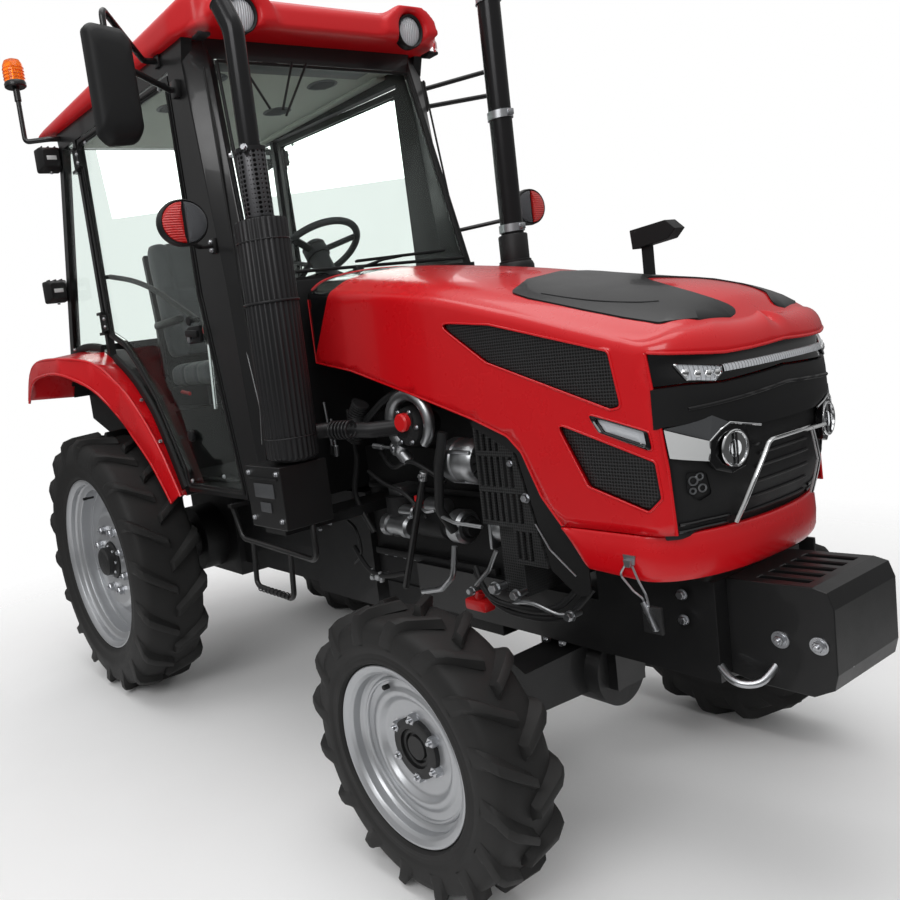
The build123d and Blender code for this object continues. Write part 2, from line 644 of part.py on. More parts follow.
def cab_glass():
    """Windscreen, rear window and the fixed quarter windows."""
    t = GLASS_T
    (z_low, _, _, x_low, _, y_low), (z_top, _, _, x_top, _, y_top) = FRONT_POST[1:]
    screen = []
    for z in (BELT_Z + GAP, HEADER_Z - GAP):
        share = (z - z_low) / (z_top - z_low)
        x = x_low + (x_top - x_low) * share - 6
        y = y_low + (y_top - y_low) * share - GAP
        screen.append([(x, -y, z), (x, y, z), (x - t, y, z), (x - t, -y, z)])
    rear = []
    y = CAB_HALF_W - POST_T - GAP
    for z in (REAR_SILL[1] + GAP, REAR_HEADER_Z - GAP):
        x = rear_post_x(z) + 11
        rear.append([(x, -y, z), (x, y, z), (x + t, y, z), (x + t, -y, z)])
    foot = [polar(angle, arch_radius(angle) + GAP) for angle in (92.4, 93, 110, 114.5)]
    front_x = POST_X - 14 - GAP
    foot[0] = (front_x, foot[1][1])
    top_z = 2372
    rear_edge = [(rear_post_x(z) + REAR_POST_W + 1.5 * GAP, z) for z in (foot[-1][1], top_z)]
    foot[-1] = rear_edge[0]
    quarter = side_prism(foot + [rear_edge[1], (front_x, top_z)], CAB_HALF_W - 16, CAB_HALF_W - 16 + t)
    return group(ribbon(screen), ribbon(rear), quarter, mirrored(quarter))


# the door's lower rear edge: angle about the rear axle and its rise over the arch's inner line
DOOR_ARCH = [(34, 42), (45, 44), (58, 50), (70, 62), (80, 96), (88.6, 84)]
DOOR_FRONT = [(922, 2330), (936, BELT_Z), (1050, 905), (1050, 884)]
DOOR_TOP = 2366
DOOR_LOW = 884
DOOR_T = 22


def arch_radius(angle):
    """Radius of the arch's inner line at an angle, between the rows of the table."""
    for (a1, r1), (a0, r0) in zip([row[:2] for row in ARCH], [row[:2] for row in ARCH[1:]]):
        if a0 <= angle <= a1:
            return r0 + (r1 - r0) * (angle - a0) / (a1 - a0)
    raise ValueError(angle)


def door_arch(drop):
    """Lower rear edge of the door as (x, z) points, moved towards the arch."""
    return [polar(angle, arch_radius(angle) + rise - drop) for angle, rise in DOOR_ARCH]


def door_outline(inset):
    """Face inside the door's edge, set in by a distance."""
    low_x = door_arch(0)[0][0]
    points = [(DOOR_REAR_X, DOOR_TOP)] + DOOR_FRONT + [(low_x + 10, DOOR_LOW)] + door_arch(0)
    points[-1] = (DOOR_REAR_X, points[-1][1])
    face = make_face(Polyline(*[(x, 0, z) for x, z in points], close=True))
    if inset:
        face = offset(face, -inset)
    return face


def door_slab(inset, y0, y1):
    face = door_outline(inset)
    return Pos(0, y0, 0) * extrude(face, amount=y1 - y0, dir=(0, 1, 0))


def door():
    """Left door: slim frame, hinge barrels, latch and the curved pull bar inside the glass."""
    y1 = CAB_HALF_W
    piece = door_slab(0, y1 - DOOR_T, y1) - door_slab(26, y1 - DOOR_T - 5, y1 + 5)
    for z in DOOR_HINGE_Z:
        barrel = rod((DOOR_HINGE_X, DOOR_HINGE_Y, z), (DOOR_HINGE_X, DOOR_HINGE_Y, z + 70), 9)
        barrel += block(DOOR_HINGE_X, DOOR_REAR_X + 30, DOOR_HINGE_Y - 4, DOOR_HINGE_Y + 4, z, z + 70)
        barrel += block(DOOR_REAR_X + 8, DOOR_REAR_X + 30, y1 - 4, DOOR_HINGE_Y, z, z + 70)
        barrel -= rod((DOOR_HINGE_X, DOOR_HINGE_Y, z - 1), (DOOR_HINGE_X, DOOR_HINGE_Y, z + 71), HINGE_PIN_R + GAP)
        piece += barrel
    piece += block(870, 918, y1 - DOOR_T - 26, y1 - DOOR_T, 1430, 1560)
    return piece


def door_glass():
    y = CAB_HALF_W - DOOR_T / 2
    return door_slab(26.3, y - GLASS_T / 2, y + GLASS_T / 2)


def seat():
    """Pedestal, cushion and back as one upholstered block on its base."""
    piece = block(-120, 330, -225, 225, 1270, 1380)
    piece += side_prism([(-120, 1300), (10, 1300), (-60, 1900), (-90, 1960), (-165, 1960), (-190, 1900)],
                        -215, 215)
    piece += block(-20, 240, -150, 150, 1180, 1270)
    return piece


COLUMN_FOOT = (1090, 1440)
COLUMN_TOP = (930, 1700)
HUB_LOW = 4               # the wheel's hub reaches this far below the column's top point


def dash():
    """Console behind the firewall and the steering column."""
    x = FIREWALL_X
    piece = side_prism([(x, FLOOR_Z), (x, BELT_Z - 12), (x - 106, BELT_Z - 12), (x - 166, 1540), (x - 186, 1400),
                        (x - 106, 1250), (x - 106, FLOOR_Z)], -300, 300)
    for y in (-440, 300):
        piece += block(x - 96, x, y, y + 140, 1480, BELT_Z - 12)
    (x0, z0), (x1, z1) = COLUMN_FOOT, COLUMN_TOP
    reach = hypot(x1 - x0, z1 - z0)
    ux, uz = (x1 - x0) / reach, (z1 - z0) / reach
    end = HUB_LOW + GAP
    piece += rod((x0, 0, z0), (x1 - ux * end, 0, z1 - uz * end), 38)
    return piece


def steering_wheel():
    (x0, z0), (x1, z1) = COLUMN_FOOT, COLUMN_TOP
    plane = Plane(origin=(x1, 0, z1), x_dir=(0, 1, 0), z_dir=(x1 - x0, 0, z1 - z0))
    wheel = plane * (Pos(0, 0, 20) * Torus(168, 13))
    wheel += plane * (Pos(0, 0, 18 - HUB_LOW) * Cylinder(46, 36))
    for angle in (90, 210, 330):
        spoke = Rot(0, 0, angle) * Pos(100, 0, 18) * Box(130, 26, 10)
        wheel += plane * spoke
    return wheel


# ---------------------------------------------------------------- hood
# x, half-width, height of the crease, then heights at 0.8 and 0.45 of the half-width and on the middle line
HOOD = [
    (1292, 320, 1540, 1576, 1595, 1602),
    (1450, 322, 1520, 1558, 1576, 1582),
    (1816, 323, 1458, 1494, 1513, 1520),
    (2120, 325, 1378, 1420, 1447, 1457),
    (2300, 325, 1322, 1372, 1408, 1421),
    (2420, 325, 1284, 1338, 1380, 1397),
    (2513, 325, 1250, 1305, 1342, 1358),
    (2565, 325, 1238, 1262, 1290, 1298),
    (NOSE_X + 20, 325, 1222, 1228, 1232, 1235),
]
HOOD_EDGE = [(1200, 1330), (1292, 1317), (1469, 1283), (1733, 1203), (1963, 1130), (2110, 1072), (2170, 935),
             (2240, 840), (2283, 768), (2560, 775), (2700, 775), (2700, 500), (1200, 500)]
HOOD_PLAN = [(1250, -400), (2440, -400), (2486, -323), (2552, -268), (2592, -160), (2602, 0), (2592, 160),
             (2552, 268), (2486, 323), (2440, 400), (1250, 400)]


def hood_body(inset):
    """Outer form of the hood down to the ground, or the same form set in by a wall."""
    sections = []
    for x, half, crease, z80, z45, zc in HOOD:
        w = half - inset
        top = [(0.8 * w, z80 - inset), (0.45 * w, z45 - inset), (0, zc - inset)]
        points = [(w, 600), (w, crease - inset)] + top
        points += [(-y, z) for y, z in top[1::-1]] + [(-w, crease - inset), (-w, 600)]
        sections.append([(x, y, z) for y, z in points])
    form = ribbon(sections)
    limits = [(x - (inset if x > 1300 else 0), y) for x, y in HOOD_PLAN]
    return form & plan_prism(limits, 400, 1800)


UPPER_VENT = [(1865, 1391), (2050, 1390), (2398, 1275), (2418, 1151), (2390, 1146), (2035, 1272)]
NOSE_CUT = [(NOSE_BACK, 872), (NOSE_X + 100, 872), (NOSE_X + 100, 1236), (NOSE_BACK, 1258)]
LOWER_VENT = [(2234, 1120), (2485, 1033), (2493, 952), (2464, 921), (2312, 969)]


def hood():
    """Shell of the hood with its vents cut, its open nose and the belt under it, and ears on the pivot."""
    shell = hood_body(0) - hood_body(HOOD_WALL)
    shell -= side_prism(HOOD_EDGE, -500, 500)
    shell -= side_prism(NOSE_CUT, -500, 500)
    for outline in (UPPER_VENT, LOWER_VENT):
        shell -= side_prism(outline, -500, 500)
    x, z = HOOD_HINGE
    y0, y1 = HOOD_EAR_Y
    back = HOOD[0][0]
    shell += block(back, back + HOOD_WALL, -y1, y1, z - 40, HOOD[0][3] + 4)
    for side in (1, -1):
        low, high = sorted((side * y0, side * y1))
        ear = block(back + 4, x + 14, low, high, z - 20, z + 14)
        shell += ear - rod((x, low - 1, z), (x, high + 1, z), HOOD_PIN_R + GAP)
    return shell


def hood_vents():
    """Mesh panels in the side openings."""
    panels = []
    for outline in (UPPER_VENT, LOWER_VENT):
        face = offset(make_face(Polyline(*[(x, 0, z) for x, z in outline], close=True)), -GAP)
        panel = Pos(0, HOOD_HALF_W - 5, 0) * extrude(face, amount=3, dir=(0, 1, 0))
        panels += [panel, mirrored(panel)]
    return group(*panels)


FASCIA_T = 34
HEADLIGHT = (2590, 190, 1042)
HEADLIGHT_R = 46
HOOD_MIRROR = (2192, 150, 1530)


def hood_nose():
    """Front fascia that closes the hood's open nose, with round pockets for the lamps."""
    form = (hood_body(2) - hood_body(FASCIA_T)) & side_prism(NOSE_CUT, -500, 500)
    form = form & side_prism([(NOSE_BACK, 872 + GAP), (NOSE_X + 100, 872 + GAP), (NOSE_X + 100, 1236 - 2),
                              (NOSE_BACK, 1258 - 2)], -500, 500)
    x, y, z = HEADLIGHT
    for side in (1, -1):
        form += block(x - 60, x - 30, side * y - 60, side * y + 60, z - 60, z + 60)
        form -= rod((x - 44, side * y, z), (x + 100, side * y, z), HEADLIGHT_R + GAP)
    return form


def hood_mirror():
    """Small forward mirror on a stalk, on the left of the hood."""
    x, y, z = HOOD_MIRROR
    stalk = block(x - 12, x + 12, y - 9, y + 9, z - 160, z) - hood_body(0)
    head = side_prism([(x - 30, z - 24), (x - 34, z + 26), (x + 70, z + 34), (x + 96, z + 8), (x + 74, z - 14)],
                      y - 22, y + 22)
    return stalk + head


def headlights():
    x, y, z = HEADLIGHT
    lamp = rod((x - 44, y, z), (x, y, z), HEADLIGHT_R)
    return group(lamp, mirrored(lamp))


# ---------------------------------------------------------------- lamps and mirrors
SIGNAL = dict(x=1324, y=735, z=1778, half_w=80, half_h=70, depth=46)
BEACON = dict(x=-235, y=-650, z=2660, radius=48, height=118)


def turn_signals():
    """Oval signals on bent brackets, and the beacon on its tube at the right rear corner."""
    w = SIGNAL
    shell = Plane(origin=(w["x"] - w["depth"], w["y"], w["z"]), x_dir=(0, 1, 0), z_dir=(1, 0, 0))
    signal = extrude(shell * Ellipse(w["half_w"], w["half_h"]), amount=w["depth"])
    signal += tube([(1082, CAB_HALF_W, 1740), (1082, CAB_HALF_W + 60, 1740), (w["x"] - 60, w["y"], w["z"]),
                    (w["x"] - 20, w["y"], w["z"])], 9, 18)
    lamp = rod((BEACON["x"], BEACON["y"], BEACON["z"]),
               (BEACON["x"], BEACON["y"], BEACON["z"] + BEACON["height"]), BEACON["radius"])
    lamp += tube([(-170, -CAB_HALF_W, 2425), (-170, -CAB_HALF_W - POST_T, 2425), (BEACON["x"], BEACON["y"], 2425),
                  (BEACON["x"], BEACON["y"], BEACON["z"])], 12, 20)
    return group(signal, mirrored(signal), lamp)


def work_lamps():
    """Round lamps under the roof's brows and square lamps on the rear posts."""
    roof_lamp = rod((ROOF_LAMP_SEAT, ROOF_LAMP_Y, ROOF_LAMP_Z), (ROOF_LAMP_SEAT + 34, ROOF_LAMP_Y, ROOF_LAMP_Z),
                    ROOF_LAMP_R)
    pieces = [roof_lamp, mirrored(roof_lamp)]
    for z in (1795, 2350):
        x = rear_post_x(z)
        lamp = block(x - 42, x + 34, CAB_HALF_W, CAB_HALF_W + 86, z - 50, z + 50)
        pieces += [lamp, mirrored(lamp)]
    return group(*pieces)


MIRROR_OUT = 285                # cab side to the middle of the mirror's head
MIRROR_HALF_W = 68


def mirrors():
    """Right mirror on its tubular loop, and the left loop on its clamp."""
    y, out = CAB_HALF_W, ROOF_HALF_W + 22
    head = y + MIRROR_OUT
    right = tube([(880, -y, 2390), (880, -out, 2390), (1122, -head, 2442), (1122, -head, 2300),
                  (990, -y - 34, 2262), (990, -y, 2262)], 11, 20)
    right += block(1092, 1150, -head - MIRROR_HALF_W, -head + MIRROR_HALF_W + 8, 2050, 2388)
    left = block(975, 1030, y, y + 34, 2210, 2325)
    left += tube([(1002, y + 30, 2300), (1100, y + 320, 2356), (1100, y + 320, 2262), (1002, y + 30, 2234)], 10, 22)
    return group(right, left)


# ---------------------------------------------------------------- rear linkage
ROCKSHAFT = (-150, 838)         # x, z
ROCKSHAFT_R = 25
LIFT_ARM = 280
LIFT_ARM_Y = 165
LINK_PIVOT = (-130, 420)        # x, z
LINK_LEVER = 300                # pivot to the lift rod
LINK_PIVOT_R = 14
LINK_EYE_R = 28
LINK_Y = (195, 340)             # at the pivot, at the eye
LINK_T = 22
LIFT_PIN_R = 10
ROD_PIN_R = 7
ROD_EYE_PLAY = 5                # the rod's low eye drifts by up to 4 on its pin as the linkage lifts
ROD_EYE_Z = LINK_PIVOT[1] + 12


def lift_arms():
    """Rockshaft with an arm at each end."""
    x, z = ROCKSHAFT
    piece = rod((x, -LIFT_ARM_Y - 14, z), (x, LIFT_ARM_Y + 14, z), ROCKSHAFT_R)
    for side in (1, -1):
        y0, y1 = sorted((side * (LIFT_ARM_Y - 10), side * (LIFT_ARM_Y + 10)))
        piece += side_prism([(x + 34, z - 34), (x + 34, z + 34), (x - LIFT_ARM, z + 24),
                             (x - LIFT_ARM - 24, z), (x - LIFT_ARM, z - 24)], y0, y1)
        pin = rod((x - LIFT_ARM, side * LIFT_ARM_Y, z), (x - LIFT_ARM, side * (LIFT_ARM_Y + 42), z), LIFT_PIN_R)
        piece += pin
    return piece


def lift_rods():
    """Rods from the lift arms down to the lower links, each with an eye at both ends."""
    x, z = ROCKSHAFT[0] - LIFT_ARM, ROCKSHAFT[1]
    y_top, y_low = LIFT_ARM_Y + 27, link_y(LINK_LEVER) - 33
    low = ROD_EYE_Z
    piece = rod((x, y_top - 11, z), (x, y_top + 11, z), 22)
    piece += rod((x, y_top, z - 14), (x, y_low, low), 12)
    piece += rod((x, y_low - 11, low), (x, y_low + 11, low), 22)
    piece -= rod((x, y_top - 30, z), (x, y_top + 30, z), LIFT_PIN_R + GAP)
    piece -= rod((x, y_low - 30, low), (x, y_low + 30, low), ROD_PIN_R + ROD_EYE_PLAY)
    return group(piece, mirrored(piece))


def link_y(behind_pivot):
    """y of the lower link's middle line at a distance behind its pivot."""
    reach = REAR_REACH - LINK_EYE_R + LINK_PIVOT[0]
    return LINK_Y[0] + (LINK_Y[1] - LINK_Y[0]) * behind_pivot / reach


def lower_links():
    """Splayed bars with an eye on the pivot pin, a pin for the lift rod and a ball eye for the implement."""
    x0, z = LINK_PIVOT
    x1 = -REAR_REACH + LINK_EYE_R
    half = LINK_T / 2
    piece = rod((x0, LINK_Y[0] - half, z), (x0, LINK_Y[0] + half, z), 32)
    piece += plan_prism([(x0, LINK_Y[0] - half), (x0, LINK_Y[0] + half), (x1, LINK_Y[1] + half),
                         (x1, LINK_Y[1] - half)], z - 24, z + 24)
    piece += rod((x1, LINK_Y[1] - half, z), (x1, LINK_Y[1] + half, z), LINK_EYE_R)
    pin_x, pin_y = ROCKSHAFT[0] - LIFT_ARM, link_y(LINK_LEVER)
    piece += rod((pin_x, pin_y, ROD_EYE_Z), (pin_x, pin_y - 46, ROD_EYE_Z), ROD_PIN_R)
    piece -= rod((x0, 0, z), (x0, 400, z), LINK_PIVOT_R + GAP)
    piece -= rod((x1, 0, z), (x1, 400, z), LINK_PIN_R)
    return group(piece, mirrored(piece))


def drawbar():
    """Flat bar under the gearbox with its pin hole."""
    piece = block(-440, 120, -32, 32, 367, 395)
    return piece - rod((-405, 0, 300), (-405, 0, 420), 16)


# ---------------------------------------------------------------- the tractor
REAR_AXLE_X = -(FRONT_REACH - REAR_REACH) / 2


def tractor():
    """Every node by name, with x still measured from the rear axle."""
    front, rear = WHEELS["front"], WHEELS["rear"]
    parts = {
        "gearbox": gearbox(),
        "engine": engine(),
        "engine_fittings": engine_fittings(),
        "front_frame": front_frame(),
        "radiator": radiator(),
        "front_axle": front_axle(),
        "rear_axle": rear_axle(),
        "weight_bracket": weight_bracket(),
        "side_box": side_box(),
        "exhaust": exhaust(),
        "intake": intake(),
        "steps": steps(),
        "cab_tub": cab_tub(),
        "cab_frame": cab_frame(),
        "roof": roof(),
        "cab_glass": cab_glass(),
        "fenders": group(fender(), mirrored(fender())),
        "seat": seat(),
        "dash": dash(),
        "steering_wheel": steering_wheel(),
        "door_left": door(),
        "door_right": mirrored(door()),
        "door_glass_left": door_glass(),
        "door_glass_right": mirrored(door_glass()),
        "hood": hood(),
        "hood_nose": hood_nose(),
        "hood_vents": hood_vents(),
        "headlights": headlights(),
        "hood_mirror": hood_mirror(),
        "turn_signals": turn_signals(),
        "work_lamps": work_lamps(),
        "mirrors": mirrors(),
        "pto_shaft": pto_shaft(),
        "drawbar": drawbar(),
        "lift_arms": lift_arms(),
        "lift_rods": lift_rods(),
        "lower_links": lower_links(),
        "knuckle_left": knuckle(),
        "knuckle_right": mirrored(knuckle()),
        "tie_rod": tie_rod(),
    }
    rims = {"front": rim(front, FRONT_HUB, FRONT_DISC, FRONT_BOLTS),
            "rear": rim(rear, REAR_HUB, REAR_DISC, REAR_BOLTS)}
    tyres = {"front": tyre(front), "rear": tyre(rear)}
    for kind in ("front", "rear"):
        for name, side in (("left", 1), ("right", -1)):
            parts[f"{kind}_rim_{name}"] = wheel_place(kind, side) * rims[kind]
            parts[f"{kind}_tyre_{name}"] = wheel_place(kind, side) * tyres[kind]
    return parts


def main():
    os.makedirs("parts", exist_ok=True)
    for name, shape in tractor().items():
        export_step(Pos(REAR_AXLE_X, 0, 0) * shape, f"parts/{name}.step")


if __name__ == "__main__":
    main()
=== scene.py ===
"""Farm tractor: the finishes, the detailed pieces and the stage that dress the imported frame."""
from math import cos, exp, hypot, pi, radians, sin

import bmesh
import bpy
from bpy.props import FloatProperty, FloatVectorProperty, PointerProperty
from mathutils import Matrix, Vector
from mathutils.geometry import delaunay_2d_cdt


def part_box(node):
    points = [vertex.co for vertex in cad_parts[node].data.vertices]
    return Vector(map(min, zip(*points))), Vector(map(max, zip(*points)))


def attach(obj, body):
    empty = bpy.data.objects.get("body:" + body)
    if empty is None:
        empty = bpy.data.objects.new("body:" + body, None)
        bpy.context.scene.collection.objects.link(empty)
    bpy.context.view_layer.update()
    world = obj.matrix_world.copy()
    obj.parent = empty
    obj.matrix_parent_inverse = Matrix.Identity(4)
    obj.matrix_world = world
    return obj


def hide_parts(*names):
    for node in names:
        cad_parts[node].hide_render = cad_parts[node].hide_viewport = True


bl_info = {
    "name": "Farm Tractor",
    "version": (1, 0, 0),
    "blender": (4, 5, 0),
    "location": "View3D > Sidebar > Tractor",
    "description": "Builds the finishes, detailed pieces and studio of a farm tractor",
    "category": "Object",
}

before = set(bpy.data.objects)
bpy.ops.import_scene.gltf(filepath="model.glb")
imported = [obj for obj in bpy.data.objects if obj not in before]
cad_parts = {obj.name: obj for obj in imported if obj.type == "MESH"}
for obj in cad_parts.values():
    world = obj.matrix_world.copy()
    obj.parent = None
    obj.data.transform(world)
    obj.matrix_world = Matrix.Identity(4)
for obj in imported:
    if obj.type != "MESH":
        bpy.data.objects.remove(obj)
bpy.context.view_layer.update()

# Shapes are drawn in millimetres: x forward from the rear axle, y to the left, z up from the ground.
REAR_AXLE = sum(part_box("rear_tyre_left"), Vector()) / 2
TO_ROW = Matrix.Translation((REAR_AXLE.x, 0, 0)) @ Matrix.Scale(0.001, 4)
FROM_ROW = TO_ROW.inverted()


def node_box(name):
    """Lowest and highest corner of a frame node, in the millimetres that the shapes are drawn in."""
    return [FROM_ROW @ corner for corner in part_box(name)]


def middle(name):
    """Middle of a frame node, in the same millimetres."""
    low, high = node_box(name)
    return (low + high) / 2


# ---------------------------------------------------------------- lines
def arc_corner(before, corner, after, radius, steps):
    """Points of the arc that rounds one corner, or the corner itself where it is too straight."""
    to_before, to_after = before - corner, after - corner
    angle = to_before.angle(to_after, pi)
    if radius <= 0 or angle > pi - 0.03:
        return [corner]
    reach = min(radius / max(sin(angle / 2) / cos(angle / 2), 1e-6), 0.49 * to_before.length, 0.49 * to_after.length)
    start = corner + to_before.normalized() * reach
    end = corner + to_after.normalized() * reach
    points = []
    for i in range(steps + 1):
        t = i / steps
        points.append(start * (1 - t) ** 2 + corner * 2 * t * (1 - t) + end * t ** 2)
    return points


def rounded(points, radius, closed=True, steps=5):
    """The line through the points with its corners rounded."""
    points = [Vector(p) for p in points]
    count = len(points)
    made = []
    for i, corner in enumerate(points):
        if not closed and i in (0, count - 1):
            made.append(corner)
        else:
            made += arc_corner(points[i - 1], corner, points[(i + 1) % count], radius, steps)
    return made


def flowing(points, steps=6, closed=False):
    """A smooth line through the points."""
    points = [Vector(p) for p in points]
    count = len(points)
    made = []
    for i in range(count if closed else count - 1):
        if closed:
            a, b, c, d = (points[(i + k) % count] for k in (-1, 0, 1, 2))
        else:
            a, b, c, d = (points[min(max(i + k, 0), count - 1)] for k in (-1, 0, 1, 2))
        for j in range(steps):
            t = j / steps
            made.append(0.5 * (2 * b + (c - a) * t + (2 * a - 5 * b + 4 * c - d) * t ** 2
                               + (3 * b - a - 3 * c + d) * t ** 3))
    if not closed:
        made.append(points[-1])
    return made


def between(rows, x):
    """The columns of a table at x, on smooth curves through its rows. The first column is x itself."""
    if x <= rows[0][0]:
        return list(rows[0][1:])
    if x >= rows[-1][0]:
        return list(rows[-1][1:])
    i = max(k for k in range(len(rows) - 1) if rows[k][0] <= x)
    x0, x1 = rows[i][0], rows[i + 1][0]
    t = (x - x0) / (x1 - x0)
    values = []
    for column in range(1, len(rows[0])):
        slopes = []
        for k in (i, i + 1):
            low, high = max(k - 1, 0), min(k + 1, len(rows) - 1)
            slopes.append((rows[high][column] - rows[low][column]) / (rows[high][0] - rows[low][0]))
        a, b = rows[i][column], rows[i + 1][column]
        h = x1 - x0
        values.append(a * (1 + 2 * t) * (1 - t) ** 2 + slopes[0] * h * t * (1 - t) ** 2
                      + b * t * t * (3 - 2 * t) + slopes[1] * h * t * t * (t - 1))
    return values


def inside(point, outline):
    """Whether a flat point lies within a closed outline."""
    x, y = point[0], point[1]
    found = False
    for (x0, y0), (x1, y1) in zip([p[:2] for p in outline], [p[:2] for p in outline[1:] + outline[:1]]):
        if (y0 > y) != (y1 > y) and x < (x1 - x0) * (y - y0) / (y1 - y0) + x0:
            found = not found
    return found


def gap_to(point, outline):
    """Shortest distance from a flat point to a closed outline."""
    p = Vector(point[:2])
    best = 1e9
    for a, b in zip(outline, outline[1:] + outline[:1]):
        a, b = Vector(a[:2]), Vector(b[:2])
        along = b - a
        share = min(max((p - a).dot(along) / max(along.length_squared, 1e-9), 0), 1)
        best = min(best, (a + along * share - p).length)
    return best


# ---------------------------------------------------------------- shapes
def square_to(axis):
    """Two directions square to an axis and to each other."""
    axis = Vector(axis).normalized()
    side = axis.cross(Vector((0, 0, 1)))
    if side.length < 0.1:
        side = axis.cross(Vector((0, 1, 0)))
    side.normalize()
    return side, axis.cross(side)


class Form:
    """A mesh put together from simple shapes, each with the number of its finish."""

    def __init__(self):
        self.mesh = bmesh.new()

    def face(self, corners, finish=0):
        """One face through the points, with the finish of that number."""
        try:
            made = self.mesh.faces.new(corners)
        except ValueError:
            return
        made.material_index = finish
        made.smooth = True

    def skin(self, loops, finish=0, ring=True, ends=True, closed=False):
        """Faces between loops of equally many points. A ring's last point meets its first."""
        rows = [[self.mesh.verts.new(p) for p in loop] for loop in loops]
        pairs = list(zip(rows, rows[1:]))
        if closed:
            pairs.append((rows[-1], rows[0]))
        for a, b in pairs:
            count = len(a)
            for i in range(count if ring else count - 1):
                j = (i + 1) % count
                self.face((a[i], a[j], b[j], b[i]), finish)
        if ring and ends and not closed:
            self.face(rows[0][::-1], finish)
            self.face(rows[-1], finish)

    def ring(self, centre, axis, radius, sides):
        """Circle of points square to an axis."""
        side, up = square_to(axis)
        centre = Vector(centre)
        return [centre + side * radius * cos(2 * pi * i / sides) + up * radius * sin(2 * pi * i / sides)
                for i in range(sides)]

    def bar(self, start, end, radius, finish=0, sides=20, end_radius=None, chamfer=1.5):
        """Round bar or cone with chamfered ends."""
        start, end = Vector(start), Vector(end)
        axis = (end - start).normalized()
        last = radius if end_radius is None else end_radius
        cut = min(chamfer, radius * 0.4, last * 0.4, (end - start).length * 0.3)
        stations = [(start, radius - cut), (start + axis * cut, radius), (end - axis * cut, last), (end, last - cut)]
        self.skin([self.ring(p, axis, r, sides) for p, r in stations], finish)

    def lathe(self, profile, centre, axis, finish=0, sides=48, closed=False):
        """Profile of (radius, along the axis) points turned about an axis through the centre."""
        centre, axis = Vector(centre), Vector(axis).normalized()
        self.skin([self.ring(centre + axis * along, axis, max(r, 0.01), sides) for r, along in profile],
                  finish, closed=closed)

    def hoop(self, centre, axis, radius, thickness, finish=0, sides=48, around=10):
        """Torus."""
        profile = [(radius + thickness * cos(2 * pi * i / around), thickness * sin(2 * pi * i / around))
                   for i in range(around)]
        self.lathe(profile, centre, axis, finish, sides, closed=True)

    def block(self, x0, x1, y0, y1, z0, z1, finish=0, bevel=2.0):
        """Box between two corners, with rounded edges."""
        made = bmesh.ops.create_cube(self.mesh, size=1)["verts"]
        size = Vector((x1 - x0, y1 - y0, z1 - z0))
        place = Matrix.Translation(((x0 + x1) / 2, (y0 + y1) / 2, (z0 + z1) / 2)) @ Matrix.Diagonal((*size, 1))
        bmesh.ops.transform(self.mesh, matrix=place, verts=made)
        self._finish_box(made, finish, bevel, min(abs(v) for v in size))

    def _finish_box(self, made, finish, bevel, least):
        faces = {f for v in made for f in v.link_faces}
        for f in faces:
            f.material_index = finish
            f.smooth = True
        cut = min(bevel, least * 0.4)
        if cut > 0:
            edges = list({e for v in made for e in v.link_edges})
            for f in bmesh.ops.bevel(self.mesh, geom=edges, offset=cut, segments=2, affect="EDGES",
                                     profile=0.5)["faces"]:
                f.smooth = True
                f.material_index = finish

    def beam(self, start, end, width, height, finish=0, bevel=1.5, up=(0, 0, 1)):
        """Square bar between two points."""
        start, end = Vector(start), Vector(end)
        along = end - start
        side = along.cross(Vector(up)).normalized()
        top = side.cross(along).normalized()
        made = bmesh.ops.create_cube(self.mesh, size=1)["verts"]
        turn = Matrix((along, side * width, top * height)).transposed().to_4x4()
        bmesh.ops.transform(self.mesh, matrix=Matrix.Translation((start + end) / 2) @ turn, verts=made)
        self._finish_box(made, finish, bevel, min(width, height, along.length))

    def slab(self, outline, across, start, end, finish=0, crown=0.0):
        """Flat outline carried along an axis: across is x, y or z, and the outline has the other two."""
        place = {"x": lambda u, v, w: (w, u, v), "y": lambda u, v, w: (u, w, v), "z": lambda u, v,
                 w: (u, v, w)}[across]
        loops = [[Vector(place(p[0], p[1], w)) for p in outline] for w in (start, end)]
        if crown:
            centre = sum(loops[1], Vector()) / len(outline)
            edge = [p.lerp(centre, 0.04) for p in loops[1]]
            step = (Vector(place(0, 0, end)) - Vector(place(0, 0, start))).normalized() * crown
            loops.append([p + step for p in edge])
        self.skin(loops, finish)

    def pipe(self, points, radius, finish=0, bend=0.0, sides=12, closed=False, end_radius=None):
        """Round tube along a line, with its corners rounded to the bend radius."""
        line = rounded(points, bend, closed=closed, steps=6) if bend else [Vector(p) for p in points]
        count = len(line)
        loops = []
        side = None
        for i, p in enumerate(line):
            before = line[i - 1] if closed or i else p
            after = line[(i + 1) % count] if closed or i < count - 1 else p
            along = (after - before).normalized()
            if side is None:
                side = square_to(along)[0]
            side = (side - along * side.dot(along)).normalized()
            up = along.cross(side)
            r = radius if end_radius is None else radius + (end_radius - radius) * i / (count - 1)
            loops.append([p + side * r * cos(2 * pi * k / sides) + up * r * sin(2 * pi * k / sides)
                          for k in range(sides)])
        self.skin(loops, finish, closed=closed)

    def bolt(self, centre, axis, across=16.0, height=9.0, finish=0, washer=True):
        """Hexagon head on a washer, standing out along the axis."""
        centre, axis = Vector(centre), Vector(axis).normalized()
        radius = across / 2 / cos(pi / 6)
        base = 0.0
        if washer:
            self.lathe([(0, 0), (radius * 1.25, 0), (radius * 1.25, 2), (0, 2)], centre, axis, finish, sides=16)
            base = 2.0
        head = [self.ring(centre + axis * a, axis, r, 6) for a, r in
                ((base, radius), (base + height * 0.8, radius), (base + height, radius * 0.85))]
        self.skin(head, finish)

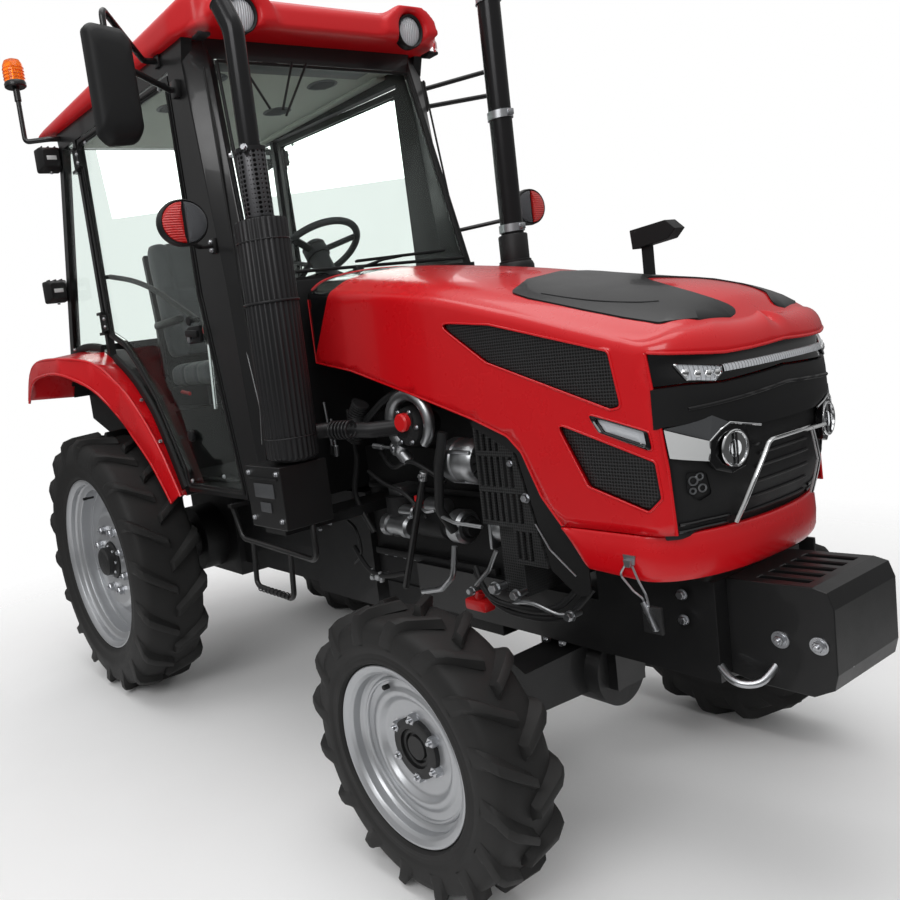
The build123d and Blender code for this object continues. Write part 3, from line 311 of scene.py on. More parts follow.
    def sheet(self, outlines, place, spacing, finish=0, extra=()):
        """Flat outlines filled with triangles and carried into space by place(u, v). The first outline is
        the edge, and the others are holes."""
        verts, edges = [], []
        for outline in outlines:
            first = len(verts)
            verts += [Vector(p[:2]) for p in outline]
            count = len(outline)
            edges += [(first + i, first + (i + 1) % count) for i in range(count)]
        for line in extra:
            first = len(verts)
            verts += [Vector(p[:2]) for p in line]
            edges += [(first + i, first + i + 1) for i in range(len(line) - 1)]
        us, vs = [p[0] for p in outlines[0]], [p[1] for p in outlines[0]]
        for i in range(1, int((max(us) - min(us)) / spacing) + 1):
            for j in range(1, int((max(vs) - min(vs)) / spacing) + 1):
                p = (min(us) + (i + 0.5 * (j % 2)) * spacing, min(vs) + j * spacing)
                if inside(p, outlines[0]) and not any(inside(p, hole) for hole in outlines[1:]):
                    if min(gap_to(p, outline) for outline in outlines) > spacing * 0.45:
                        verts.append(Vector(p))
        flat, _, faces, *_ = delaunay_2d_cdt(verts, edges, [], 0, 1e-4)
        made = [self.mesh.verts.new(place(p.x, p.y)) for p in flat]
        for corners in faces:
            centre = sum((flat[k] for k in corners), Vector((0, 0))) / len(corners)
            if inside(centre, outlines[0]) and not any(inside(centre, hole) for hole in outlines[1:]):
                self.face([made[k] for k in corners], finish)
        bmesh.ops.delete(self.mesh, geom=[v for v in made if not v.link_faces], context="VERTS")

    def mirror(self):
        """Adds the other side."""
        copy = bmesh.ops.duplicate(self.mesh, geom=self.mesh.verts[:] + self.mesh.edges[:] + self.mesh.faces[:])
        verts = [g for g in copy["geom"] if isinstance(g, bmesh.types.BMVert)]
        faces = [g for g in copy["geom"] if isinstance(g, bmesh.types.BMFace)]
        for v in verts:
            v.co.y = -v.co.y
        bmesh.ops.reverse_faces(self.mesh, faces=faces)
        return self

    def piece(self, name, body, slot, finishes, replaces=(), bevel=0.0, sharp=40, outward=True, weld=0.0):
        """Closes the mesh, hands it to the body that carries it and gives it its finishes."""
        if weld:
            bmesh.ops.remove_doubles(self.mesh, verts=self.mesh.verts[:], dist=weld)
        if outward:
            bmesh.ops.recalc_face_normals(self.mesh, faces=self.mesh.faces[:])
        bmesh.ops.transform(self.mesh, matrix=TO_ROW, verts=self.mesh.verts[:])
        data = bpy.data.meshes.new(name)
        self.mesh.to_mesh(data)
        self.mesh.free()
        data.set_sharp_from_angle(angle=radians(sharp))
        for finish in finishes:
            data.materials.append(bpy.data.materials[finish])
        piece = bpy.data.objects.new(name, data)
        bpy.context.scene.collection.objects.link(piece)
        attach(piece, body)
        if replaces:
            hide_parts(*replaces)
        if bevel:
            soften(piece, bevel)
        return piece


def soften(piece, width, angle=40, segments=2):
    """Rounds a piece's sharp edges by a width in millimetres."""
    edge = piece.modifiers.new("Soft edges", "BEVEL")
    edge.width = width * 0.001
    edge.segments = segments
    edge.limit_method = "ANGLE"
    edge.angle_limit = radians(angle)
    edge.harden_normals = True
    edge.miter_outer = "MITER_ARC"
    return edge


# ---------------------------------------------------------------- finishes
class Graph:
    """Adds shader nodes to a tree and joins them."""

    def __init__(self, tree):
        self.tree = tree
        self.tree.nodes.clear()
        self.count = 0

    def add(self, kind, inputs=None, **settings):
        """A node of the kind, with its inputs set to values or linked."""
        made = self.tree.nodes.new(kind)
        made.location = (self.count % 6 * 190, -self.count // 6 * 260)
        self.count += 1
        for key, value in settings.items():
            setattr(made, key, value)
        for key, value in (inputs or {}).items():
            if isinstance(value, bpy.types.NodeSocket):
                self.tree.links.new(value, made.inputs[key])
            else:
                made.inputs[key].default_value = value
        return made

    def math(self, operation, a, b=0.0, c=0.0):
        """Result of a sum on two values."""
        made = self.add("ShaderNodeMath", operation=operation)
        for socket, value in zip(made.inputs, (a, b, c)):
            if isinstance(value, bpy.types.NodeSocket):
                self.tree.links.new(value, socket)
            else:
                socket.default_value = value
        return made.outputs[0]

    def spread(self, value, low, high, to_low=0.0, to_high=1.0):
        """Value mapped from one range onto another."""
        made = self.add("ShaderNodeMapRange", {"Value": value, "From Min": low, "From Max": high,
                                               "To Min": to_low, "To Max": to_high})
        return made.outputs["Result"]


def group(name, inputs, outputs):
    """An empty shader node group with its sockets: (name, kind, default) and (name, kind)."""
    tree = bpy.data.node_groups.new(name, "ShaderNodeTree")
    for label, kind, default in inputs:
        tree.interface.new_socket(label, in_out="INPUT", socket_type=kind).default_value = default
    for label, kind in outputs:
        tree.interface.new_socket(label, in_out="OUTPUT", socket_type=kind)
    graph = Graph(tree)
    return tree, graph, graph.add("NodeGroupInput").outputs, graph.add("NodeGroupOutput").inputs


def make_groups():
    """Tone drifts a colour over the surface, Grain gives its bump, and Rub varies its roughness."""
    tree, g, given, out = group("Tone", [("Colour", "NodeSocketColor", (1, 1, 1, 1)),
                                         ("Drift", "NodeSocketFloat", 0.1),
                                         ("Scale", "NodeSocketFloat", 6.0), ("Edge", "NodeSocketFloat", 0.0)],
                                [("Colour", "NodeSocketColor")])
    place = g.add("ShaderNodeTexCoord").outputs["Object"]
    broad = g.add("ShaderNodeTexNoise", {"Vector": place, "Scale": given["Scale"], "Detail": 4.0}).outputs["Fac"]
    fine = g.add("ShaderNodeTexNoise", {"Vector": place, "Scale": g.math("MULTIPLY", given["Scale"], 17.0),
                                        "Detail": 3.0}).outputs["Fac"]
    mixed = g.math("ADD", g.math("MULTIPLY", broad, 0.7), g.math("MULTIPLY", fine, 0.3))
    shade = g.math("ADD", 1.0, g.math("MULTIPLY", g.math("SUBTRACT", mixed, 0.5),
                                      g.math("MULTIPLY", given["Drift"], 2.0)))
    point = g.add("ShaderNodeNewGeometry").outputs["Pointiness"]
    edge = g.math("MULTIPLY", g.spread(point, 0.52, 0.6), given["Edge"])
    shade = g.math("ADD", shade, edge)
    hue = g.add("ShaderNodeHueSaturation", {"Color": given["Colour"], "Value": shade})
    g.tree.links.new(hue.outputs["Color"], out["Colour"])

    tree, g, given, out = group("Grain", [("Scale", "NodeSocketFloat", 300.0), ("Strength", "NodeSocketFloat", 0.1),
                                          ("Depth", "NodeSocketFloat", 0.0005)], [("Normal", "NodeSocketVector")])
    place = g.add("ShaderNodeTexCoord").outputs["Object"]
    grain = g.add("ShaderNodeTexNoise", {"Vector": place, "Scale": given["Scale"], "Detail": 2.0,
                                         "Roughness": 0.55}).outputs["Fac"]
    bump = g.add("ShaderNodeBump", {"Height": grain, "Strength": given["Strength"], "Distance": given["Depth"]})
    g.tree.links.new(bump.outputs["Normal"], out["Normal"])

    tree, g, given, out = group("Rub", [("Roughness", "NodeSocketFloat", 0.4), ("Spread", "NodeSocketFloat", 0.1),
                                        ("Scale", "NodeSocketFloat", 9.0)], [("Roughness", "NodeSocketFloat")])
    place = g.add("ShaderNodeTexCoord").outputs["Object"]
    noise = g.add("ShaderNodeTexNoise", {"Vector": place, "Scale": given["Scale"], "Detail": 6.0,
                                         "Roughness": 0.6}).outputs["Fac"]
    shift = g.math("MULTIPLY", g.math("SUBTRACT", noise, 0.5), g.math("MULTIPLY", given["Spread"], 2.0))
    rough = g.add("ShaderNodeClamp", {"Value": g.math("ADD", given["Roughness"], shift), "Min": 0.02, "Max": 1.0})
    g.tree.links.new(rough.outputs["Result"], out["Roughness"])


# name, colour, roughness, metallic, coat, drift, tone scale, edge, rub, grain scale, grain strength, grain depth
SOLID_FINISHES = [
    ("Red_paint", "BODY", 0.28, 0, 0.35, 0.05, 2.5, 0.03, 0.05, 55, 0.05, 0.0006),
    ("Roof_paint", "BODY", 0.42, 0, 0.1, 0.05, 2.5, 0.03, 0.05, 55, 0.05, 0.0006),
    ("Black_paint", (0.008, 0.008, 0.0085), 0.36, 0, 0.2, 0.10, 4, 0.01, 0.08, 120, 0.05, 0.0004),
    ("Gloss_black", (0.005, 0.005, 0.0055), 0.16, 0, 0.4, 0.08, 4, 0.0, 0.04, 60, 0.03, 0.0004),
    ("Satin_black", (0.011, 0.011, 0.0115), 0.34, 0, 0, 0.10, 5, 0.02, 0.08, 400, 0.10, 0.0003),
    ("Matt_black", (0.010, 0.0102, 0.0107), 0.52, 0, 0, 0.14, 5, 0.02, 0.10, 900, 0.35, 0.0003),
    ("Moulded_plastic", (0.0125, 0.0125, 0.013), 0.46, 0, 0, 0.12, 6, 0.02, 0.10, 1100, 0.45, 0.0003),
    ("Grey_plastic", (0.055, 0.057, 0.060), 0.42, 0, 0, 0.10, 6, 0.03, 0.10, 1000, 0.35, 0.0003),
    ("Chassis_black", (0.0075, 0.0075, 0.0078), 0.40, 0, 0.12, 0.16, 5, 0.03, 0.12, 240, 0.25, 0.0006),
    ("Cast_iron", (0.010, 0.010, 0.0105), 0.50, 0, 0.1, 0.22, 7, 0.05, 0.14, 420, 0.7, 0.0012),
    ("Engine_iron", (0.014, 0.014, 0.0145), 0.46, 0.2, 0, 0.25, 8, 0.06, 0.14, 480, 0.7, 0.0012),
    ("Bare_alloy", (0.42, 0.43, 0.44), 0.36, 1, 0, 0.14, 9, 0.05, 0.12, 520, 0.35, 0.0006),
    ("Bright_steel", (0.62, 0.63, 0.64), 0.24, 1, 0, 0.08, 9, 0.03, 0.08, 700, 0.12, 0.0002),
    ("Zinc", (0.50, 0.51, 0.53), 0.30, 1, 0, 0.14, 14, 0.04, 0.10, 500, 0.25, 0.0003),
    ("Chrome", (0.80, 0.81, 0.82), 0.08, 1, 0, 0.03, 4, 0.0, 0.02, 80, 0.02, 0.0002),
    ("Wheel_silver", (0.42, 0.43, 0.445), 0.34, 0.65, 0.25, 0.06, 5, 0.03, 0.08, 600, 0.12, 0.0003),
    ("Exhaust_black", (0.018, 0.018, 0.019), 0.36, 0.2, 0, 0.18, 6, 0.03, 0.12, 500, 0.3, 0.0004),
    ("Pipe_black", (0.020, 0.020, 0.021), 0.22, 0.5, 0, 0.10, 5, 0.02, 0.06, 300, 0.08, 0.0003),
    ("Tyre_rubber", (0.0175, 0.0172, 0.0170), 0.60, 0, 0, 0.20, 7, 0.06, 0.12, 700, 0.5, 0.0006),
    ("Rubber", (0.011, 0.011, 0.0112), 0.55, 0, 0, 0.14, 8, 0.02, 0.10, 900, 0.35, 0.0004),
    ("Hose_rubber", (0.014, 0.014, 0.0145), 0.42, 0, 0, 0.14, 8, 0.02, 0.10, 700, 0.3, 0.0004),
    ("Roof_lining", (0.36, 0.38, 0.34), 0.80, 0, 0, 0.10, 5, 0.0, 0.05, 1300, 0.5, 0.0006),
    ("Cab_trim", (0.085, 0.088, 0.092), 0.60, 0, 0, 0.12, 6, 0.02, 0.08, 1200, 0.5, 0.0004),
    ("Dash_plastic", (0.034, 0.035, 0.037), 0.52, 0, 0, 0.12, 6, 0.02, 0.08, 1200, 0.5, 0.0004),
    ("Floor_mat", (0.020, 0.020, 0.021), 0.75, 0, 0, 0.18, 9, 0.02, 0.08, 420, 0.8, 0.0015),
    ("Label_white", (0.66, 0.67, 0.66), 0.38, 0, 0.2, 0.03, 5, 0.0, 0.04, 300, 0.05, 0.0002),
    ("Cap_red", (0.55, 0.010, 0.012), 0.34, 0, 0.1, 0.06, 12, 0.0, 0.06, 600, 0.2, 0.0003),
    ("Handle_yellow", (0.62, 0.36, 0.02), 0.40, 0, 0.1, 0.06, 12, 0.0, 0.06, 600, 0.2, 0.0003),
    ("Bright_trim", (0.60, 0.61, 0.61), 0.30, 0.2, 0.4, 0.04, 6, 0.0, 0.05, 300, 0.06, 0.0002),
    ("Reflector", (0.86, 0.87, 0.88), 0.06, 1, 0, 0.02, 8, 0.0, 0.02, 120, 0.05, 0.0003),
    ("Mirror_glass", (0.78, 0.80, 0.82), 0.03, 1, 0, 0.01, 3, 0.0, 0.01, 20, 0.01, 0.0001),
]
FINISH_COLUMNS = ("colour", "rough", "metal", "coat", "drift", "scale", "edge", "rub", "grain", "strength", "depth")


def shader(name):
    """A material with a Principled shader and its graph."""
    made = bpy.data.materials.new(name)
    made.use_nodes = True
    graph = Graph(made.node_tree)
    core = graph.add("ShaderNodeBsdfPrincipled")
    out = graph.add("ShaderNodeOutputMaterial")
    made.node_tree.links.new(core.outputs["BSDF"], out.inputs["Surface"])
    return made, graph, core


def shared(graph, name, inputs, output, core=None, socket=None):
    """A shared node group's output, joined to a socket of the shader."""
    made = graph.add("ShaderNodeGroup")
    made.node_tree = bpy.data.node_groups[name]
    for key, value in inputs.items():
        if isinstance(value, bpy.types.NodeSocket):
            graph.tree.links.new(value, made.inputs[key])
        else:
            made.inputs[key].default_value = value
    if core:
        graph.tree.links.new(made.outputs[output], core.inputs[socket])
    return made.outputs[output]


def solid_finish(name, row, paint):
    """Paint, plastic, rubber or metal: colour drift, worn roughness and a fine grain."""
    v = dict(zip(FINISH_COLUMNS, row))
    made, graph, core = shader(name)
    colour = tuple(paint) if v["colour"] == "BODY" else v["colour"]
    shared(graph, "Tone", {"Colour": (*colour, 1), "Drift": v["drift"], "Scale": v["scale"], "Edge": v["edge"]},
           "Colour", core, "Base Color")
    shared(graph, "Rub", {"Roughness": v["rough"], "Spread": v["rub"]}, "Roughness", core, "Roughness")
    shared(graph, "Grain", {"Scale": v["grain"], "Strength": v["strength"], "Depth": v["depth"]}, "Normal", core,
           "Normal")
    core.inputs["Metallic"].default_value = v["metal"]
    core.inputs["Specular IOR Level"].default_value = 0.5 if v["metal"] > 0.5 else 0.4 if v["coat"] else 0.24
    if v["coat"]:
        core.inputs["Coat Weight"].default_value = v["coat"]
        core.inputs["Coat Roughness"].default_value = 0.06
    return made


# name, colour, transmission, roughness, index of refraction
CLEAR_FINISHES = [
    ("Cab_glass", (0.90, 0.95, 0.925), 1.0, 0.01, 1.12),
    ("Lamp_glass", (0.95, 0.96, 0.97), 1.0, 0.02, 1.15),
    ("Amber_lens", (0.95, 0.20, 0.01), 0.55, 0.14, 1.35),
    ("Red_lens", (0.75, 0.02, 0.015), 0.45, 0.12, 1.35),
    ("Smoke_lens", (0.30, 0.31, 0.33), 0.75, 0.08, 1.30),
]


def clear_finish(name, colour, transmission, rough, index):
    """Glass or a coloured lens that light passes through."""
    made, graph, core = shader(name)
    shared(graph, "Tone", {"Colour": (*colour, 1), "Drift": 0.02, "Scale": 3}, "Colour", core, "Base Color")
    shared(graph, "Grain", {"Scale": 30 if transmission == 1 else 260, "Strength": 0.04, "Depth": 0.0003},
           "Normal", core, "Normal")
    core.inputs["Roughness"].default_value = rough
    core.inputs["Metallic"].default_value = 0.0
    core.inputs["Transmission Weight"].default_value = transmission
    core.inputs["IOR"].default_value = index
    return made


def pierced_finish(name, colour, rough, metal, pitch, share):
    """Sheet with rows of round holes, drawn as pits coloured near black as painted shade, with a bump at their rims."""
    made, graph, core = shader(name)
    place = graph.add("ShaderNodeTexCoord").outputs["Object"]
    cells = graph.add("ShaderNodeTexVoronoi", {"Vector": place, "Scale": 1000 / pitch, "Randomness": 0.0})
    hole = graph.spread(cells.outputs["Distance"], share, share + 0.06)
    mix = graph.add("ShaderNodeMix", data_type="RGBA")
    graph.tree.links.new(hole, mix.inputs["Factor"])
    # the holes get a near-black colour: painted shade for the dark seen through the openings
    mix.inputs[6].default_value = (0.003, 0.003, 0.003, 1)
    graph.tree.links.new(shared(graph, "Tone", {"Colour": (*colour, 1), "Drift": 0.1, "Scale": 6}, "Colour"),
                         mix.inputs[7])
    graph.tree.links.new(mix.outputs[2], core.inputs["Base Color"])
    bump = graph.add("ShaderNodeBump", {"Height": hole, "Strength": 0.8, "Distance": 0.002})
    graph.tree.links.new(bump.outputs["Normal"], core.inputs["Normal"])
    shared(graph, "Rub", {"Roughness": rough, "Spread": 0.1}, "Roughness", core, "Roughness")
    core.inputs["Metallic"].default_value = metal
    return made


def lined_finish(name, colour, rough, axis, pitch, depth, coat=0.0):
    """Moulded surface with straight ribs square to an axis, such as a lens or a ribbed belt."""
    made, graph, core = shader(name)
    place = graph.add("ShaderNodeTexCoord").outputs["Object"]
    parts = graph.add("ShaderNodeSeparateXYZ", {"Vector": place})
    wave = graph.math("SINE", graph.math("MULTIPLY", parts.outputs[axis], 2 * pi * 1000 / pitch))
    bump = graph.add("ShaderNodeBump", {"Height": wave, "Strength": 0.9, "Distance": depth})
    graph.tree.links.new(bump.outputs["Normal"], core.inputs["Normal"])
    shared(graph, "Tone", {"Colour": (*colour, 1), "Drift": 0.1, "Scale": 6}, "Colour", core, "Base Color")
    shared(graph, "Rub", {"Roughness": rough, "Spread": 0.06}, "Roughness", core, "Roughness")
    if coat:
        core.inputs["Coat Weight"].default_value = coat
    return made


def woven_finish(name, colour, other, pitch):
    """Seat cloth: two colours of yarn over and under, with a soft sheen."""
    made, graph, core = shader(name)
    place = graph.add("ShaderNodeTexCoord").outputs["Object"]
    weave = graph.add("ShaderNodeTexVoronoi", {"Vector": place, "Scale": 1000 / pitch, "Randomness": 0.35})
    mix = graph.add("ShaderNodeMix", data_type="RGBA")
    graph.tree.links.new(weave.outputs["Distance"], mix.inputs["Factor"])
    mix.inputs[6].default_value = (*colour, 1)
    mix.inputs[7].default_value = (*other, 1)
    shared(graph, "Tone", {"Colour": mix.outputs[2], "Drift": 0.15, "Scale": 9}, "Colour", core, "Base Color")
    bump = graph.add("ShaderNodeBump", {"Height": weave.outputs["Distance"], "Strength": 0.6, "Distance": 0.0012})
    graph.tree.links.new(bump.outputs["Normal"], core.inputs["Normal"])
    core.inputs["Roughness"].default_value = 0.85
    core.inputs["Sheen Weight"].default_value = 0.25
    return made


# finish and edge rounding in millimetres of each frame node that shows as it is
NODE_FINISHES = {
    "gearbox": ("Cast_iron", 5), "engine": ("Engine_iron", 4), "engine_fittings": ("Bare_alloy", 2),
    "front_frame": ("Chassis_black", 2), "radiator": ("Grille_mesh", 2), "front_axle": ("Cast_iron", 4),
    "rear_axle": ("Cast_iron", 4), "weight_bracket": ("Chassis_black", 3), "side_box": ("Chassis_black", 3),
    "exhaust": ("Exhaust_black", 2), "intake": ("Moulded_plastic", 2), "steps": ("Chassis_black", 2),
    "cab_tub": ("Matt_black", 3), "cab_frame": ("Black_paint", 3), "roof": ("Red_paint", 6),
    "cab_glass": ("Cab_glass", 0), "fenders": ("Red_paint", 4), "seat": ("Seat_cloth", 4),
    "dash": ("Dash_plastic", 4), "steering_wheel": ("Dash_plastic", 2), "door_left": ("Black_paint", 2),
    "door_right": ("Black_paint", 2), "door_glass_left": ("Cab_glass", 0), "door_glass_right": ("Cab_glass", 0),
    "hood": ("Red_paint", 3), "hood_nose": ("Moulded_plastic", 3), "hood_vents": ("Matt_black", 1),
    "headlights": ("Lamp_glass", 1), "hood_mirror": ("Moulded_plastic", 2), "turn_signals": ("Amber_lens", 2),
    "work_lamps": ("Moulded_plastic", 2), "mirrors": ("Matt_black", 4), "pto_shaft": ("Bright_steel", 1),
    "drawbar": ("Chassis_black", 2), "lift_arms": ("Cast_iron", 3), "lift_rods": ("Chassis_black", 2),
    "lower_links": ("Chassis_black", 3), "knuckle_left": ("Cast_iron", 3), "knuckle_right": ("Cast_iron", 3),
    "tie_rod": ("Chassis_black", 2), "front_rim_left": ("Wheel_silver", 2), "front_rim_right": ("Wheel_silver", 2),
    "rear_rim_left": ("Wheel_silver", 2), "rear_rim_right": ("Wheel_silver", 2),
    "front_tyre_left": ("Tyre_rubber", 3), "front_tyre_right": ("Tyre_rubber", 3),
    "rear_tyre_left": ("Tyre_rubber", 4), "rear_tyre_right": ("Tyre_rubber", 4),
}


class TRACTOR_OT_finishes(bpy.types.Operator):
    """Make the materials and give them to the frame's nodes"""

    bl_idname = "tractor.finishes"
    bl_label = "Finishes"

    def execute(self, context):
        make_groups()
        paint = context.scene.tractor_finish.paint
        for row in SOLID_FINISHES:
            solid_finish(row[0], row[1:], paint)
        for row in CLEAR_FINISHES:
            clear_finish(*row)
        pierced_finish("Grille_mesh", (0.034, 0.035, 0.036), 0.45, 0.2, 7.5, 0.38)
        pierced_finish("Exhaust_mesh", (0.10, 0.10, 0.105), 0.35, 0.8, 13, 0.36)
        lined_finish("Lens_ribs", (0.55, 0.57, 0.60), 0.10, "Y", 9, 0.002, coat=0.8)
        lined_finish("Red_ribs", (0.60, 0.012, 0.010), 0.14, "Z", 7, 0.0015, coat=0.8)
        lined_finish("Belt_ribs", (0.014, 0.014, 0.014), 0.5, "Z", 6, 0.0015)
        woven_finish("Seat_cloth", (0.030, 0.031, 0.034), (0.085, 0.088, 0.095), 3.2)
        for name, (finish, width) in NODE_FINISHES.items():
            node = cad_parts[name]
            node.data.materials.clear()
            node.data.materials.append(bpy.data.materials[finish])
            if width:
                weld = node.modifiers.new("Join", "WELD")
                weld.merge_threshold = 0.0001
                soften(node, width, 35)
        return {"FINISHED"}


# ---------------------------------------------------------------- wheels
# Profiles are (radius, outward from the wheel's middle). The bead is where the tyre sits on the rim.
WHEELS = {
    "rear": dict(bead=356, flange=19, rim_half=118, drop=30, lugs=18, lug_height=24,
                 disc=[(327, 20), (318, 9), (252, 8), (238, 14), (214, 37), (198, 42), (84, 42)],
                 hub=[(80, 40), (80, 50), (66, 56), (62, 56), (62, 84), (54, 92), (0, 94)],
                 nuts=(8, 140, 30, 20), studs=(8, 50, 12, 8), bead_rings=(14, 24)),
    "front": dict(bead=203, flange=22, rim_half=84, drop=22, lugs=16, lug_height=24,
                  disc=[(182, 40), (174, 35), (156, 34), (146, 39), (134, 39), (120, 22), (60, 20)],
                  hub=[(58, 20), (58, 27), (44, 30), (38, 30), (36, 12), (0, 12)],
                  nuts=(6, 75, 24, 16), studs=(0, 0, 0, 0), bead_rings=(9, 15, 21, 27)),
}


def along_profile(profile, share):
    """Point at a share of the way along a flat line."""
    lengths = [hypot(b[0] - a[0], b[1] - a[1]) for a, b in zip(profile, profile[1:])]
    left = share * sum(lengths)
    for (a, b), length in zip(zip(profile, profile[1:]), lengths):
        if left <= length or (a, b) == (profile[-2], profile[-1]):
            t = left / length
            return a[0] + (b[0] - a[0]) * t, a[1] + (b[1] - a[1]) * t
        left -= length


def tyre_form(w, radius, half):
    """Carcass with bead rings and two rows of leaning bar lugs that wrap over the shoulders."""
    form = Form()
    crown, bead = radius - w["lug_height"], w["bead"]
    wall = crown - bead
    over = bead + w["flange"]
    side = [(over + 2, w["rim_half"] - 4), (over + 9, w["rim_half"] + 8), (bead + 0.36 * wall, 0.955 * half),
            (bead + 0.5 * wall, half), (bead + 0.66 * wall, 0.985 * half), (bead + 0.84 * wall, 0.93 * half),
            (crown - 7, 0.8 * half), (crown - 1, 0.5 * half), (crown, 0)]
    smooth = [(p.x, p.y) for p in flowing([(r, y, 0) for r, y in side], 5)]
    ringed = [(bead + 1, w["rim_half"] - 30), (bead + 2, w["rim_half"] - 10)]
    for r, y in smooth:
        for ring in w["bead_rings"]:
            near = abs(r - over - ring)
            if near < 4:
                y += 2.2 * (1 - near / 4)
        ringed.append((r, min(y, half)))
    profile = ringed + [(r, -y) for r, y in ringed[-2::-1]]
    form.lathe(profile, (0, 0, 0), (0, 1, 0), sides=120, closed=True)
    rubber = [(-6, crown), (0.52 * half, crown), (0.84 * half, crown - 12), (0.97 * half, bead + 0.74 * wall),
              (half, bead + 0.56 * wall)]
    tips = [(-6, radius), (0.80 * half, radius), (0.95 * half, radius - 9), (half, radius - 24),
            (half + 1, bead + 0.78 * wall), (half + 0.5, bead + 0.58 * wall)]
    lean = 0.85 * half
    width = 0.17 * half + 17
    stations = (0, 0.03, 0.15, 0.3, 0.45, 0.58, 0.68, 0.76, 0.84, 0.92, 1)
    section = [(-0.5, -3, 0), (-0.5, 0, 6), (-0.5, 0.55, 2), (-0.5, 0.93, 0), (-0.5, 1, -4),
               (0.5, 1, -4), (0.5, 0.93, 0), (0.5, 0.55, 2), (0.5, 0, 6), (0.5, -3, 0)]
    for i in range(2 * w["lugs"]):
        hand = 1 if i % 2 else -1
        turn = Matrix.Rotation(pi * i / w["lugs"], 3, "Y")
        loops = []
        for k, s in enumerate(stations):
            low, high = along_profile(rubber, s), along_profile(tips, s)
            if s == 0:
                high = (low[0], low[1] + 0.55 * (high[1] - low[1]))
            y_mid = min(low[0], half)
            shift = lean * (y_mid / half - 0.5) * (0.9 + 0.1 * y_mid / half)
            wide = width * (0.80 + 0.25 * y_mid / half)
            loop = []
            for across, up, extra in section:
                base, share = (-up if up < 0 else 0), max(up, 0)
                y = low[0] + (high[0] - low[0]) * share
                r = low[1] + (high[1] - low[1]) * share - base
                t = shift + across * (wide - 6 * share) + (extra if across > 0 else -extra)
                loop.append(turn @ Vector((t, hand * y, r)))
            loops.append(loop)
        form.skin(loops)
    return form


def rim_form(w):
    """Rolled rim with its well, pressed disc, hub, wheel nuts and valve."""
    form = Form()
    half, seat = w["rim_half"], w["bead"]
    top, floor = seat + w["flange"], seat - w["drop"]
    lip = [(top, half - 3), (top + 1, half), (top - 2, half + 2), (top - 7, half), (seat + 4, half - 6),
           (seat - 4, half - 14), (seat - 6, half - 34), (seat - 12, half - 41), (floor - 5, half - 50),
           (floor - 6, half - 64)]
    rest = [(floor - 6, 44 - half), (seat - 6, 34 - half), (seat - 6, 12 - half), (top - 6, 2 - half), (top, -half),
            (seat, 8 - half), (seat, 34 - half), (floor, 50 - half), (floor, half - 52), (seat, half - 36),
            (seat, half - 9), (top - 3, half - 5)]
    ring = rounded([(r, y, 0) for r, y in lip + rest], 5, steps=3)
    form.lathe([(p.x, p.y) for p in ring], (0, 0, 0), (0, 1, 0), 0, sides=96, closed=True)
    disc = [(p.x, p.y) for p in rounded([(r, y, 0) for r, y in w["disc"]], 14, closed=False, steps=5)]
    form.lathe(disc + [(r, y - 8) for r, y in reversed(disc)], (0, 0, 0), (0, 1, 0), 0, sides=96, closed=True)
    form.hoop((0, w["disc"][0][1] - 2, 0), (0, 1, 0), w["disc"][0][0] - 3, 5, 0, sides=96, around=8)
    hub = [(p.x, p.y) for p in rounded([(r, y, 0) for r, y in w["hub"]], 3, closed=False, steps=3)]
    form.lathe(hub, (0, 0, 0), (0, 1, 0), 1, sides=40)
    inner = -100 if w["bead"] > 300 else -70
    form.lathe([(76, inner), (76, 34), (70, 36), (50, 36), (50, inner)], (0, 0, 0), (0, 1, 0), 1, sides=40,
               closed=True)
    face = w["disc"][-1][1]
    count, circle, across, height = w["nuts"]
    for i in range(count):
        a = 2 * pi * (i + 0.5) / count
        place = (circle * cos(a), face, circle * sin(a))
        form.bolt(place, (0, 1, 0), across, height, 2)
        end = Vector(place) + Vector((0, height + 12, 0))
        form.bar(place, end, across * 0.24, 2, sides=12)
    count, circle, across, height = w["studs"]
    for i in range(count):
        a = 2 * pi * i / count
        form.bolt((circle * 1.28 * cos(a), 54, circle * 1.28 * sin(a)), (0, 1, 0), across, height, 2, washer=False)
    a = 1.1
    stem = Vector(((floor - 20) * cos(a), half - 62, (floor - 20) * sin(a)))
    form.bar(stem - Vector((0, 20, 0)), stem + Vector((0, 26, 0)), 5, 3, sides=12)
    form.bar(stem + Vector((0, 12, 0)), stem + Vector((0, 30, 0)), 6.5, 3, sides=12)
    return form


class TRACTOR_OT_wheels(bpy.types.Operator):
    """Build the tyres and rims"""

    bl_idname = "tractor.wheels"
    bl_label = "Wheels"

    def execute(self, context):
        for end, w in WHEELS.items():
            for side in ("left", "right"):
                low, high = node_box(f"{end}_tyre_{side}")
                radius, half = (high.z - low.z) / 2, (high.y - low.y) / 2 - 1
                place = Matrix.Translation((low + high) / 2)
                if side == "right":
                    place = place @ Matrix.Rotation(pi, 4, "Z")
                tyre = tyre_form(w, radius, half)
                rim = rim_form(w)
                for form in (tyre, rim):
                    bmesh.ops.transform(form.mesh, matrix=place, verts=form.mesh.verts[:])
                body = f"{end}_wheel_{side}"
                tyre.piece(f"Tyre_{end}_{side}", body, "tread", ["Tyre_rubber"], [f"{end}_tyre_{side}"], sharp=35)
                rim.piece(f"Rim_{end}_{side}", body, "wheel_paint",
                          ["Wheel_silver", "Cast_iron", "Zinc", "Rubber"], [f"{end}_rim_{side}"], sharp=35)
        return {"FINISHED"}


